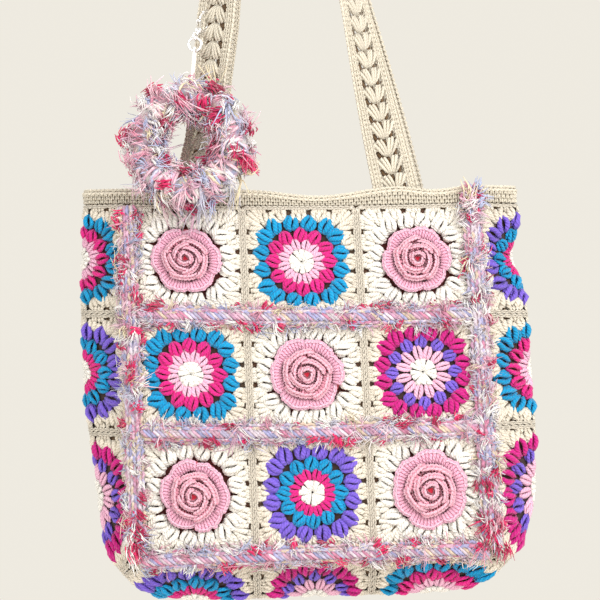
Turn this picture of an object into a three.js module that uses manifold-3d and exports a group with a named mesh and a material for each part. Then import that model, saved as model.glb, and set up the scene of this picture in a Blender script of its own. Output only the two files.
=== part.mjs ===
// A crochet shoulder bag of granny squares: three by three on the front and the back, and one strip of
// squares that runs down one side, under the base and up the other. A crocheted band closes the mouth's
// edge, two openwork straps rise from inside it and hang over a peg, fluffy yarn covers the front's seams,
// and a fluffy hair band hangs from a strap by a trigger clasp, a split ring and a cord loop.
// Millimetres, +Z up, the front faces -Y. The origin is where the straps bear on the peg.
import * as THREE from 'three';
import { mergeVertices } from 'three/addons/utils/BufferGeometryUtils.js';
import Module from 'manifold-3d';

const wasm = await Module();
wasm.setup();

// Driving dimensions
const SQUARE = 117; // side of one granny square
const COLUMNS = 3;
const ROWS = 3;
const WALL = 4.5; // thickness of the crocheted fabric
const GAP = 0.4; // between pieces that touch
const RIM_DROP = 557; // from the peg down to the seam under the mouth's band
const BAG_SHIFT = 33.5; // the mouth's middle, to the right of the peg
const BAND_HEIGHT = 14;
const ROSE_RADIUS = 39;
const ROSE_HEIGHT = 15;
const TRIM_HALF_WIDTH = 7;
const TRIM_HEIGHT = 9;
const TRIM_LOCK = 13; // how far a lock of the fluffy yarn stands off its ridge
const TRIM_CLEAR = 0.3; // the ridge's foot over the fabric, beyond the gap
const STRAP_WIDTH = 43;
const STRAP_WALL = 4.5;
const STRAP_PITCH = 18.5; // one shell of the openwork
const HOLE_WIDTH = 7;
const HOLE_HEIGHT = 9;
const STRAP_TAIL = 15; // sewn behind the mouth's band
const PEG_RADIUS = 8;
const STRAP_SPACE = 4; // between the two straps on the peg
const CLASP_HALF_WIDTH = 8.5;
const CLASP_STRAIGHT = 4;
const CLASP_WIRE = 1.3;
const EYE_RADIUS = 3.4;
const EYE_WIRE = 1;
const RING_RADIUS = 6.6;
const RING_WIRE = 1.1;
const LOOP_WIRE = 1.2;
const LOOP_HALF_WIDTH = 3.1;
const LOOP_LENGTH = 35;
const SCRUNCHIE_RADIUS = 45;
const SCRUNCHIE_TUBE = 19;
const SCRUNCHIE_LOCK = 9; // how far a lock stands off the tube
const SCRUNCHIE_LOCK_RADIUS = 7;
const LOOP_ANGLE = 0.42; // from the tube's top towards its back, where the cord loop is sewn
const STRIP_ROUNDING = 1.7; // 1 folds the side and base squares sharply, 2 rounds them

// The seams between the rows, as shares of a square: how far down each lies at the left, middle and right,
// half the front's width, its shift to the right, half the bag's depth there and the front's bulge beyond it.
const SEAMS = [
  { row: 0, left: 0, middle: 0.02, right: -0.01, half: 1.466, shift: 0, depth: 0.25, bulge: 0.04 },
  { row: 1, left: 0.94, middle: 0.974, right: 0.94, half: 1.477, shift: 0.05, depth: 0.32, bulge: 0.1 },
  { row: 2, left: 1.957, middle: 1.949, right: 1.897, half: 1.487, shift: 0.095, depth: 0.34, bulge: 0.12 },
  { row: 3, left: 3.04, middle: 2.974, right: 2.94, half: 1.5, shift: 0.14, depth: 0.31, bulge: 0.05 },
];
// How far the side and base squares stand out from the front's edge and how far that way turns from
// sideways to down, at places given in squares down the side or out from the base's middle.
const LEFT_SIDE = [
  { at: -0.2, reach: 0.36, turn: 0 },
  { at: 0.4, reach: 0.4, turn: 0 },
  { at: 1, reach: 0.43, turn: 0 },
  { at: 1.8, reach: 0.42, turn: 0 },
  { at: 2.2, reach: 0.37, turn: 0 },
  { at: 2.6, reach: 0.33, turn: 6 },
  { at: 2.85, reach: 0.29, turn: 26 },
  { at: 3, reach: 0.2, turn: 45 },
];
const RIGHT_SIDE = [
  { at: -0.2, reach: 0.32, turn: 0 },
  { at: 0.1, reach: 0.42, turn: 0 },
  { at: 0.46, reach: 0.33, turn: 0 },
  { at: 0.8, reach: 0.42, turn: 0 },
  { at: 1.5, reach: 0.435, turn: 0 },
  { at: 2.1, reach: 0.44, turn: 0 },
  { at: 2.6, reach: 0.4, turn: 6 },
  { at: 2.85, reach: 0.31, turn: 26 },
  { at: 3, reach: 0.2, turn: 45 },
];
const BASE = [
  { at: 0, reach: 0.385, turn: 90 },
  { at: 0.8, reach: 0.385, turn: 90 },
  { at: 1.2, reach: 0.36, turn: 76 },
  { at: 1.38, reach: 0.29, turn: 62 },
  { at: 1.5, reach: 0.2, turn: 45 },
];
// Lift of the mouth's edge above or below the band's own height, as a share of that height, at places in
// squares from the front's middle.
const RIM = [
  { at: -1.5, lift: 0 },
  { at: -0.4, lift: 0.05 },
  { at: 0.2, lift: -0.38 },
  { at: 0.85, lift: 0.25 },
  { at: 1.2, lift: -0.05 },
  { at: 1.5, lift: 0.2 },
];
// Which squares of the front carry a rose.
const ROSES = [
  { row: 1, column: 1 },
  { row: 1, column: 3 },
  { row: 2, column: 2 },
  { row: 3, column: 1 },
  { row: 3, column: 3 },
];
// The rose's section from its rim to its heart: radius and height as shares, and how deep the scallops are.
const ROSE_SECTION = [
  { radius: 0.9, height: 0, scallop: 0.04 },
  { radius: 0.97, height: 0.22, scallop: 0.07 },
  { radius: 0.8, height: 0.5, scallop: 0.05 },
  { radius: 0.74, height: 0.45, scallop: 0 },
  { radius: 0.7, height: 0.72, scallop: 0.06 },
  { radius: 0.36, height: 1, scallop: 0.05 },
  { radius: 0.17, height: 0.8, scallop: 0 },
];
const ROSE_PETALS = 6;
// The straps: where each leg leaves the band, to the right of the peg, as shares of a square, and how far
// it has turned edge-on at a third of its height.
const STRAPS = [
  { side: -1, left: -0.6, right: 1.155, leftTurn: 33, rightTurn: 50 },
  { side: 1, left: -0.56, right: 1.22, leftTurn: 33, rightTurn: 50 },
];
const TURN_PLACE = 0.35;

const COLOURS = {
  cream: 0xefe6d0,
  rose: 0xf29cb8,
  fluff: 0xe9b9cd,
  metal: 0xd9dbe0,
  cord: 0xf6f4f2,
};

const lerp = THREE.MathUtils.lerp;
const radians = THREE.MathUtils.degToRad;
const vector = (x, y, z) => new THREE.Vector3(x, y, z);

// A smooth value from a table's column: a cubic through its rows, with flat tangents past its ends.
function along(table, key, place, column) {
  const last = table.length - 1;
  let i = 0;
  while (i < last - 1 && place > table[i + 1][key]) i += 1;
  const [a, b] = [table[i], table[i + 1]];
  const before = table[Math.max(i - 1, 0)];
  const after = table[Math.min(i + 2, last)];
  const span = b[key] - a[key];
  const u = THREE.MathUtils.clamp((place - a[key]) / span, -0.4, 1.2);
  const slopeA = ((b[column] - before[column]) / (b[key] - before[key])) * span;
  const slopeB = ((after[column] - a[column]) / (after[key] - a[key])) * span;
  const u2 = u * u;
  const u3 = u2 * u;
  return (
    (2 * u3 - 3 * u2 + 1) * a[column] +
    (u3 - 2 * u2 + u) * slopeA +
    (3 * u2 - 2 * u3) * b[column] +
    (u3 - u2) * slopeB
  );
}

const halfAcross = COLUMNS / 2;

// Height of the mouth's edge over the top seam at a place across, in millimetres.
function rimHeight(across) {
  const place = THREE.MathUtils.clamp(across, -halfAcross, halfAcross);
  return BAND_HEIGHT * (1 + along(RIM, 'at', place, 'lift'));
}
const TOP_LIMIT = -0.2; // squares down: no wall reaches higher over the top seam

// A point of the front panel's middle surface, at squares across and squares down. Negative down is the band.
function frontPoint(across, down) {
  const row = Math.max(down, TOP_LIMIT);
  const u = across / halfAcross;
  const left = along(SEAMS, 'row', row, 'left');
  const middle = along(SEAMS, 'row', row, 'middle');
  const right = along(SEAMS, 'row', row, 'right');
  const sink = middle + ((right - left) / 2) * u + ((left + right) / 2 - middle) * u * u;
  const half = along(SEAMS, 'row', row, 'half');
  const shift = along(SEAMS, 'row', row, 'shift');
  const depth = along(SEAMS, 'row', row, 'depth');
  const bulge = along(SEAMS, 'row', row, 'bulge');
  return vector(
    BAG_SHIFT + SQUARE * (half * u + shift),
    -SQUARE * (depth + bulge * (1 - u * u)),
    -RIM_DROP - SQUARE * sink,
  );
}

// The back panel mirrors the front in the plane y = 0.
function backPoint(across, down) {
  const p = frontPoint(across, down);
  p.y = -p.y;
  return p;
}

// The strip of side and base squares. Across is -1 at the front's edge and 1 at the back's.
function stripPoint(table, seam, direction, place, across) {
  const reach = SQUARE * along(table, 'at', Math.abs(place), 'reach');
  const turn = radians(along(table, 'at', Math.abs(place), 'turn'));
  const out = reach * (1 - Math.abs(across) ** STRIP_ROUNDING);
  return vector(
    seam.x + direction * Math.cos(turn) * out,
    Math.abs(seam.y) * across,
    seam.z - Math.sin(turn) * out,
  );
}
function leftPoint(down, across) {
  return stripPoint(LEFT_SIDE, frontPoint(-halfAcross, down), -1, Math.max(down, TOP_LIMIT), across);
}
function rightPoint(down, across) {
  return stripPoint(RIGHT_SIDE, frontPoint(halfAcross, down), 1, Math.max(down, TOP_LIMIT), across);
}
function basePoint(place, across) {
  return stripPoint(BASE, frontPoint(place, ROWS), Math.sign(place), place, across);
}

// The outward normal of a surface given as a function of two numbers.
const bagMiddle = vector(BAG_SHIFT + 0.07 * SQUARE, 0, -RIM_DROP - 1.5 * SQUARE);
function normalOf(surface, u, v) {
  const step = 0.004;
  const p = surface(u, v);
  const du = surface(u + step, v).sub(surface(u - step, v));
  const dv = surface(u, v + step).sub(surface(u, v - step));
  const n = du.cross(dv).normalize();
  if (n.dot(p.clone().sub(bagMiddle)) < 0) n.negate();
  return n;
}

// Several normals that meet at a seam, joined into the direction in which a wall's edge is mitred.
function mitre(...normals) {
  const sum = normals.reduce((total, n) => total.add(n), vector(0, 0, 0)).normalize();
  const lean = normals.reduce((least, n) => Math.min(least, n.dot(sum)), 1);
  return sum.multiplyScalar(1 / Math.max(lean, 0.7));
}

const EDGE = 1e-6;
const inside = 0.02; // squares in from an edge where a neighbour's normal is read

// The offset direction on the panels and strips, mitred where they meet.
function panelOffset(surface, sideways, across, down) {
  const atSide = Math.abs(across) > halfAcross - EDGE;
  const atBase = down > ROWS - EDGE;
  const inwards = across - Math.sign(across) * (atSide ? inside : 0);
  const normals = [normalOf(surface, inwards, down - (atBase ? inside : 0))];
  const edge = sideways * (1 - inside);
  if (atSide) {
    const strip = across < 0 ? leftPoint : rightPoint;
    normals.push(normalOf(strip, Math.min(down, ROWS - inside), edge));
  }
  if (atBase) {
    const place = THREE.MathUtils.clamp(across, -halfAcross + inside, halfAcross - inside);
    normals.push(normalOf(basePoint, place, edge));
  }
  return mitre(...normals);
}
const frontOffset = (across, down) => panelOffset(frontPoint, -1, across, down);
const backOffset = (across, down) => panelOffset(backPoint, 1, across, down);

function stripOffset(surface, place, across, isBase) {
  const sign = Math.sign(across);
  const atPanel = Math.abs(across) > 1 - EDGE;
  const end = isBase ? halfAcross : ROWS;
  const atCorner = Math.abs(place) > end - EDGE;
  if (atPanel) {
    const panel = sign < 0 ? frontOffset : backOffset;
    if (isBase) return panel(place, ROWS);
    return panel(surface === leftPoint ? -halfAcross : halfAcross, place);
  }
  if (!atCorner) return mitre(normalOf(surface, place, across));
  const right = isBase ? place > 0 : surface === rightPoint;
  const side = normalOf(right ? rightPoint : leftPoint, ROWS - inside, across);
  const base = normalOf(basePoint, (right ? 1 : -1) * (halfAcross - inside), across);
  return mitre(side, base);
}

// Mesh helpers

// A closed body from corner points and faces, turned so that its faces point out.
function body(points, faces) {
  let volume = 0;
  for (const [a, b, c] of faces) volume += points[a].dot(points[b].clone().cross(points[c]));
  const geometry = new THREE.BufferGeometry();
  const numbers = points.flatMap((p) => [p.x, p.y, p.z]);
  geometry.setAttribute('position', new THREE.Float32BufferAttribute(numbers, 3));
  geometry.setIndex(faces.flatMap(([a, b, c]) => (volume < 0 ? [a, c, b] : [a, b, c])));
  return geometry;
}

// A wall over a grid: both faces and the four edges between them.
function wall(corner, us, vs) {
  const points = [];
  const faces = [];
  const index = (i, j, k) => (i * vs.length + j) * 2 + k;
  for (const u of us) for (const v of vs) points.push(corner(u, v, 1), corner(u, v, -1));
  const quad = (a, b, c, d) => faces.push([a, b, c], [a, c, d]);
  const [lastU, lastV] = [us.length - 1, vs.length - 1];
  for (let i = 0; i < lastU; i += 1) {
    for (let j = 0; j < lastV; j += 1) {
      quad(index(i, j, 0), index(i + 1, j, 0), index(i + 1, j + 1, 0), index(i, j + 1, 0));
      quad(index(i, j, 1), index(i, j + 1, 1), index(i + 1, j + 1, 1), index(i + 1, j, 1));
    }
    quad(index(i, 0, 0), index(i, 0, 1), index(i + 1, 0, 1), index(i + 1, 0, 0));
    quad(index(i, lastV, 0), index(i + 1, lastV, 0), index(i + 1, lastV, 1), index(i, lastV, 1));
  }
  for (let j = 0; j < lastV; j += 1) {
    quad(index(0, j, 0), index(0, j + 1, 0), index(0, j + 1, 1), index(0, j, 1));
    quad(index(lastU, j, 0), index(lastU, j, 1), index(lastU, j + 1, 1), index(lastU, j + 1, 0));
  }
  return body(points, faces);
}

// A ring or a capped bar through a list of sections with the same number of corners.
function loft(sections, closed) {
  const sides = sections[0].length;
  const points = sections.flat();
  const faces = [];
  const rings = closed ? sections.length : sections.length - 1;
  for (let i = 0; i < rings; i += 1) {
    const next = ((i + 1) % sections.length) * sides;
    for (let j = 0; j < sides; j += 1) {
      const k = (j + 1) % sides;
      faces.push([i * sides + j, i * sides + k, next + k], [i * sides + j, next + k, next + j]);
    }
  }
  if (!closed) {
    const last = (sections.length - 1) * sides;
    for (let j = 1; j < sides - 1; j += 1) {
      faces.push([0, j + 1, j], [last, last + j, last + j + 1]);
    }
  }
  return body(points, faces);
}

// The point at an angle on a circle with axes a and b.
const onCircle = (centre, a, b, radius, angle) =>
  centre.clone().addScaledVector(a, radius * Math.cos(angle)).addScaledVector(b, radius * Math.sin(angle));

// A round wire along points in one plane, whose normal is given.
function wire(path, normal, radius, sides, closed) {
  const count = path.length;
  const sections = path.map((p, i) => {
    const before = closed ? path[(i + count - 1) % count] : path[Math.max(i - 1, 0)];
    const after = closed ? path[(i + 1) % count] : path[Math.min(i + 1, count - 1)];
    const side = after.clone().sub(before).normalize().cross(normal).normalize();
    return Array.from({ length: sides }, (_, j) => {
      return onCircle(p, side, normal, radius, (2 * Math.PI * j) / sides);
    });
  });
  return loft(sections, closed);
}

function toManifold(geometry) {
  const bare = geometry.clone();
  bare.deleteAttribute('normal');
  bare.deleteAttribute('uv');
  const merged = mergeVertices(bare, 1e-4);
  return new wasm.Manifold(
    new wasm.Mesh({
      numProp: 3,
      vertProperties: new Float32Array(merged.attributes.position.array),
      triVerts: new Uint32Array(merged.index.array),
    }),
  );
}

function fromManifold(solid) {
  const mesh = solid.getMesh();
  const geometry = new THREE.BufferGeometry();
  geometry.setAttribute('position', new THREE.Float32BufferAttribute(mesh.vertProperties, 3));
  geometry.setIndex(Array.from(mesh.triVerts));
  return geometry;
}

const fuse = (...parts) => fromManifold(parts.map(toManifold).reduce((all, part) => all.add(part)));
const cut = (stock, ...tools) =>
  fromManifold(tools.map(toManifold).reduce((left, tool) => left.subtract(tool), toManifold(stock)));

const group = new THREE.Group();
function piece(name, geometry, colour, roughness = 0.95, metalness = 0) {
  const material = new THREE.MeshStandardMaterial({ color: COLOURS[colour], roughness, metalness });
  const mesh = new THREE.Mesh(geometry, material);
  mesh.name = name;
  group.add(mesh);
}

// Even steps from one seam to the next, kept half a gap clear of both.
function steps(from, to, count) {
  const clear = GAP / 2 / SQUARE;
  return Array.from({ length: count + 1 }, (_, i) => {
    const place = lerp(from, to, i / count);
    if (i === 0) return place + clear * Math.sign(to - from);
    if (i === count) return place - clear * Math.sign(to - from);
    return place;
  });
}

// A square's wall. The offset is read at the seam itself, so that neighbours share their mitres.
function squareWall(surface, offset, us, vs, seamU, seamV, thickness = WALL) {
  const read = (value, list, seams) => {
    if (value === list[0]) return seams[0];
    return value === list.at(-1) ? seams[1] : value;
  };
  return wall(
    (u, v, face) =>
      surface(u, v).addScaledVector(offset(read(u, us, seamU), read(v, vs, seamV)), (face * thickness) / 2),
    us,
    vs,
  );
}

// The room that a square at the bag's lower corners keeps clear of the yarn ridges over it. It reaches past
// its seams, so that nothing is left standing between two squares.
const cornerRoom = [];
function keepRoom(surface, offset, us, vs, seamU, seamV) {
  const past = (list) => {
    const over = (2 * GAP * Math.sign(list.at(-1) - list[0])) / SQUARE;
    return [list[0] - over, ...list.slice(1, -1), list.at(-1) + over];
  };
  cornerRoom.push(squareWall(surface, offset, past(us), past(vs), seamU, seamV, WALL + 2 * GAP));
}

// Squares of the front and the back
const FRONT_CELLS = 4;
const BACK_CELLS = 3;
for (let row = 1; row <= ROWS; row += 1) {
  for (let column = 1; column <= COLUMNS; column += 1) {
    const seamU = [column - 1 - halfAcross, column - halfAcross];
    const seamV = [row - 1, row];
    for (const [name, surface, offset, cells] of [
      ['front', frontPoint, frontOffset, FRONT_CELLS],
      ['back', backPoint, backOffset, BACK_CELLS],
    ]) {
      const us = steps(...seamU, cells);
      const vs = steps(...seamV, cells);
      const square = [surface, offset, us, vs, seamU, seamV];
      piece(`${name}_square_${row}_${column}`, squareWall(...square), 'cream');
      if (name === 'front' && row === ROWS && column !== 2) keepRoom(...square);
    }
  }
}

// Squares of the two sides and the base. Their fold runs down the middle.
const STRIP_CELLS = 5;
const SIDE_CLEAR = GAP / SQUARE;
const acrossStrip = [-1 + SIDE_CLEAR, -0.66, -0.33, 0, 0.33, 0.66, 1 - SIDE_CLEAR];
const wholeStrip = [-1, 1];
for (let i = 1; i <= ROWS; i += 1) {
  const seam = [i - 1, i];
  for (const [name, surface] of [
    ['left', leftPoint],
    ['right', rightPoint],
  ]) {
    const offset = (place, across) => stripOffset(surface, place, across, false);
    const square = [surface, offset, steps(...seam, STRIP_CELLS), acrossStrip, seam, wholeStrip];
    piece(`${name}_square_${i}`, squareWall(...square), 'cream');
    if (i === ROWS) keepRoom(...square);
  }
}
for (let i = 1; i <= COLUMNS; i += 1) {
  const seam = [i - 1 - halfAcross, i - halfAcross];
  const offset = (place, across) => stripOffset(basePoint, place, across, true);
  const square = [basePoint, offset, steps(...seam, STRIP_CELLS), acrossStrip, seam, wholeStrip];
  piece(`base_square_${i}`, squareWall(...square), 'cream');
  if (i !== 2) keepRoom(...square);
}

// The band round the mouth: one closed wall that follows the front, a side, the back and the other side.
const BAND_STEPS = 12;
const BAND_SIDE_STEPS = 6;
const BAND_LEGS = [
  { wall: 'front', from: -halfAcross, to: halfAcross, steps: BAND_STEPS },
  { wall: 'right', from: -1, to: 1, steps: BAND_SIDE_STEPS },
  { wall: 'back', from: halfAcross, to: -halfAcross, steps: BAND_STEPS },
  { wall: 'left', from: 1, to: -1, steps: BAND_SIDE_STEPS },
];
const bandPlaces = () =>
  BAND_LEGS.flatMap(({ from, to, steps, ...leg }) =>
    Array.from({ length: steps }, (_, i) => ({ wall: leg.wall, at: lerp(from, to, i / steps) })),
  );
function bandPoint(place, down) {
  if (place.wall === 'front') return frontPoint(place.at, down);
  if (place.wall === 'back') return backPoint(place.at, down);
  return place.wall === 'left' ? leftPoint(down, place.at) : rightPoint(down, place.at);
}
function bandOffset(place, down) {
  if (place.wall === 'front') return frontOffset(place.at, down);
  if (place.wall === 'back') return backOffset(place.at, down);
  return stripOffset(place.wall === 'left' ? leftPoint : rightPoint, down, place.at, false);
}
function bandHeight(place) {
  if (place.wall === 'front' || place.wall === 'back') return rimHeight(place.at);
  return rimHeight(place.wall === 'left' ? -halfAcross : halfAcross);
}
const bandSections = bandPlaces().map((place) => {
  const lower = -GAP / SQUARE;
  const upper = -bandHeight(place) / SQUARE;
  const foot = bandPoint(place, lower);
  const footOut = bandOffset(place, 0).multiplyScalar(WALL / 2);
  const top = bandPoint(place, Math.max(upper, TOP_LIMIT));
  const topOut = bandOffset(place, upper).multiplyScalar(WALL / 2);
  return [foot.clone().add(footOut), top.clone().add(topOut), top.sub(topOut), foot.sub(footOut)];
});
piece('top_band', loft(bandSections, true), 'cream');

// A place on the front's outer surface: squares across and down, and height above the fabric in millimetres.
function onFront(across, down, height) {
  return frontPoint(across, down).addScaledVector(frontOffset(across, down), WALL / 2 + GAP + height);
}

// Roses: rings of scalloped petals that step up to a ruffled heart
const ROSE_SIDES = ROSE_PETALS * 3;
function rose(row, column) {
  const [across, down] = [column - 0.5 - halfAcross, row - 0.5];
  const points = [];
  const faces = [];
  for (const ring of ROSE_SECTION) {
    for (let i = 0; i < ROSE_SIDES; i += 1) {
      const angle = (2 * Math.PI * i) / ROSE_SIDES;
      const scallop = 1 + ring.scallop * Math.cos(ROSE_PETALS * angle);
      const radius = (ROSE_RADIUS / SQUARE) * ring.radius * scallop;
      const place = [across + radius * Math.cos(angle), down + radius * Math.sin(angle)];
      points.push(onFront(...place, ROSE_HEIGHT * ring.height));
    }
  }
  for (let k = 0; k < ROSE_SECTION.length - 1; k += 1) {
    for (let i = 0; i < ROSE_SIDES; i += 1) {
      const j = (i + 1) % ROSE_SIDES;
      const [low, high] = [k * ROSE_SIDES, (k + 1) * ROSE_SIDES];
      faces.push([low + i, low + j, high + j], [low + i, high + j, high + i]);
    }
  }
  const heart = points.push(onFront(across, down, ROSE_HEIGHT * 0.55)) - 1;
  const foot = points.push(onFront(across, down, 0)) - 1;
  const top = (ROSE_SECTION.length - 1) * ROSE_SIDES;
  for (let i = 0; i < ROSE_SIDES; i += 1) {
    const j = (i + 1) % ROSE_SIDES;
    faces.push([top + i, top + j, heart], [j, i, foot]);
  }
  return body(points, faces);
}
for (const { row, column } of ROSES) piece(`rose_${row}_${column}`, rose(row, column), 'rose');

// Fluffy yarn along the front's seams: a ridge with a saddle foot, and locks fused to it
const TRIM_SECTION = [
  { across: -1, height: 0 },
  { across: -0.8, height: 0.65 },
  { across: 0, height: 1 },
  { across: 0.8, height: 0.65 },
  { across: 1, height: 0 },
  { across: 0, height: 0 },
];
const LOCK_PITCH = 0.25; // in squares along a seam
const LOCK_SIDES = 3;
const LOCK_RADIUS = 4.4;
const LOCK_TIP = 0.5; // the tip's share of the foot's radius
function trim(place, from, to, isClear = () => true) {
  const halfWidth = TRIM_HALF_WIDTH / SQUARE;
  const cell = 1 / FRONT_CELLS;
  const stations = [from];
  for (let i = Math.ceil(from / cell - halfAcross); i * cell < to; i += 1) {
    const line = i * cell + (halfAcross % cell);
    if (line > from + cell / 3 && line < to - cell / 3) stations.push(line);
  }
  stations.push(to);
  const sections = stations.map((at) =>
    TRIM_SECTION.map((corner) => place(at, corner.across * halfWidth, corner.height * TRIM_HEIGHT)),
  );
  const locks = [];
  const lockCount = Math.round((to - from) / LOCK_PITCH);
  for (let i = 0; i < lockCount; i += 1) {
    const at = lerp(from, to, (i + 0.5) / lockCount);
    const sideways = [-1, 0.25, 1, -0.35][i % 4];
    if (!isClear(at, sideways)) continue;
    const foot = place(at, 0.35 * sideways * halfWidth, 0.62 * TRIM_HEIGHT);
    const tipHeight = TRIM_HEIGHT * (Math.abs(sideways) > 0.5 ? 0.9 : 1.6);
    const tipSide = sideways * (halfWidth + (TRIM_LOCK * 0.8) / SQUARE);
    const tip = place(at + (i % 3 === 0 ? 0.05 : -0.04), tipSide, tipHeight);
    locks.push(lock(foot, tip, LOCK_RADIUS));
  }
  return cut(fuse(loft(sections, false), ...locks), ...cornerRoom);
}

// One lock of yarn: a slim wedge from its foot to its tip, which is cut off blunt.
function lock(foot, tip, radius) {
  const way = tip.clone().sub(foot).normalize();
  const aside = Math.abs(way.z) < 0.8 ? vector(0, 0, 1) : vector(1, 0, 0);
  const side = aside.cross(way).normalize();
  const other = way.clone().cross(side);
  const ring = (centre, size) =>
    Array.from({ length: LOCK_SIDES }, (_, j) => {
      return onCircle(centre, side, other, size, (2 * Math.PI * j) / LOCK_SIDES);
    });
  return loft([ring(foot, radius), ring(tip, radius * LOCK_TIP)], false);
}

// Along an upright seam the saddle foot rides the corner between the front and the side.
function onSeam(edge, down, across, height) {
  const outward = across * edge > 0;
  const row = THREE.MathUtils.clamp(down, TOP_LIMIT, ROWS);
  const rise = WALL / 2 + GAP + TRIM_CLEAR + height;
  if (!outward || Math.abs(across) < EDGE) {
    const at = edge * halfAcross + across;
    const atSeam = Math.abs(across) < EDGE;
    return frontPoint(at, row).addScaledVector(frontOffset(atSeam ? edge * halfAcross : at, row), rise);
  }
  const surface = edge < 0 ? leftPoint : rightPoint;
  const strip = -1 + Math.abs(across) * 2;
  return surface(row, strip).addScaledVector(stripOffset(surface, row, strip, false), rise);
}
const SEAM_TOP = 0.02;
const SEAM_END = 2.86;
const RIGHT_SEAM_TOP = -0.1;
// Its locks keep off the ends of the level ridges.
const LEVEL_ROOM = 0.16;
function upright(edge, from) {
  const isClear = (at, sideways) => sideways * edge > 0 || Math.abs(at - Math.round(at)) > LEVEL_ROOM;
  return trim((at, across, height) => onSeam(edge, at, across, height), from, SEAM_END, isClear);
}
piece('fluffy_trim_left', upright(-1, SEAM_TOP), 'fluff');
piece('fluffy_trim_right', upright(1, RIGHT_SEAM_TOP), 'fluff');

const trimEnd = halfAcross - (TRIM_HALF_WIDTH + 2 * GAP) / SQUARE;
for (const row of [1, 2]) {
  const level = (at, across, height) => onFront(at, row + across, TRIM_CLEAR + height);
  piece(`fluffy_trim_row_${row}`, trim(level, -trimEnd, trimEnd), 'fluff');
}

// The lowest ridge rides the corner between the front and the base.
function onBaseSeam(at, across, height) {
  const rise = WALL / 2 + GAP + TRIM_CLEAR + height;
  if (across < EDGE) {
    const down = ROWS + across;
    return frontPoint(at, down).addScaledVector(frontOffset(at, Math.abs(across) < EDGE ? ROWS : down), rise);
  }
  const strip = -1 + across * 2;
  return basePoint(at, strip).addScaledVector(stripOffset(basePoint, at, strip, true), rise);
}
piece('fluffy_trim_base', trim(onBaseSeam, -trimEnd, trimEnd), 'fluff');

// Straps. A leg runs from behind the band to the peg's flank and turns edge-on as it rises.
function strapPath({ side, left, right, leftTurn, rightTurn }) {
  const level = -RIM_DROP;
  const reach = STRAP_WALL / 2 + PEG_RADIUS;
  const onPeg = side * (STRAP_SPACE + STRAP_WIDTH) / 2;
  const legAt = (x) => {
    const across = ((x * SQUARE - BAG_SHIFT) / (SQUARE * SEAMS[0].half)) * halfAcross;
    const halfWidth = STRAP_WIDTH / 2 / SQUARE;
    const rims = [-halfWidth, 0, halfWidth].flatMap((side) =>
      [-BAND_HEIGHT, 0, STRAP_TAIL].map((drop) => Math.abs(frontPoint(across + side, drop / SQUARE).y)),
    );
    const y = Math.min(...rims) - WALL / 2 - STRAP_WALL / 2 - 2 * GAP;
    return vector(x * SQUARE, side * y, level);
  };
  return { level, reach, onPeg, side, leftFoot: legAt(left), rightFoot: legAt(right), leftTurn, rightTurn };
}

// One station: its centre, its width direction and its outward direction.
function legStation(path, isLeft, share) {
  const foot = isLeft ? path.leftFoot : path.rightFoot;
  const flank = vector((isLeft ? -1 : 1) * path.reach, path.onPeg, -PEG_RADIUS);
  const hand = isLeft ? 1 : -1;
  const centre = foot.clone().lerp(flank, share);
  centre.y = lerp(foot.y, flank.y, THREE.MathUtils.smoothstep(share, 0.08, 1));
  const up = flank.clone().sub(foot).normalize();
  const tangent = vector(lerp(up.x, 0, THREE.MathUtils.smoothstep(share, 0.9, 1)), 0, up.z).normalize();
  const atPlace = isLeft ? path.leftTurn : path.rightTurn;
  const past = (share - TURN_PLACE) / (1 - TURN_PLACE);
  const turn = past < 0 ? atPlace * (share / TURN_PLACE) : lerp(atPlace, 90, past);
  const angle = radians(turn);
  const level = vector(1, 0, 0).addScaledVector(tangent, -tangent.x).normalize();
  const width = level.multiplyScalar(hand * Math.cos(angle)).add(vector(0, path.side * Math.sin(angle), 0));
  const travel = tangent.clone().multiplyScalar(hand);
  return { centre, width, out: travel.clone().cross(width).multiplyScalar(path.side) };
}

function arcStation(path, angle) {
  const out = vector(-Math.cos(angle), 0, Math.sin(angle));
  const centre = vector(0, path.onPeg, -PEG_RADIUS).addScaledVector(out, path.reach);
  return { centre, width: vector(0, path.side, 0), out };
}

const ARC_STEPS = 6;
function strapStations(path) {
  const stations = [];
  const legLength = (foot) => foot.distanceTo(vector(0, path.onPeg, -PEG_RADIUS));
  const leftCount = Math.round(legLength(path.leftFoot) / STRAP_PITCH);
  const rightCount = Math.round(legLength(path.rightFoot) / STRAP_PITCH);
  const tail = (isLeft) => {
    const station = legStation(path, isLeft, 0);
    const centre = station.centre.clone();
    centre.z -= STRAP_TAIL;
    return { ...station, centre, open: false };
  };
  stations.push(tail(true));
  for (let i = 0; i < leftCount; i += 1) {
    stations.push({ ...legStation(path, true, i / leftCount), open: i > 0 });
  }
  for (let i = 0; i < ARC_STEPS; i += 1) {
    stations.push({ ...arcStation(path, (Math.PI * i) / ARC_STEPS), open: false });
  }
  for (let i = rightCount; i > 0; i -= 1) {
    stations.push({ ...legStation(path, false, i / rightCount), open: i > 1 });
  }
  stations.push({ ...legStation(path, false, 0), open: false });
  stations.push(tail(false));
  return stations;
}

const stationPoint = (station, across, out) =>
  station.centre.clone().addScaledVector(station.width, across).addScaledVector(station.out, out);

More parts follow.
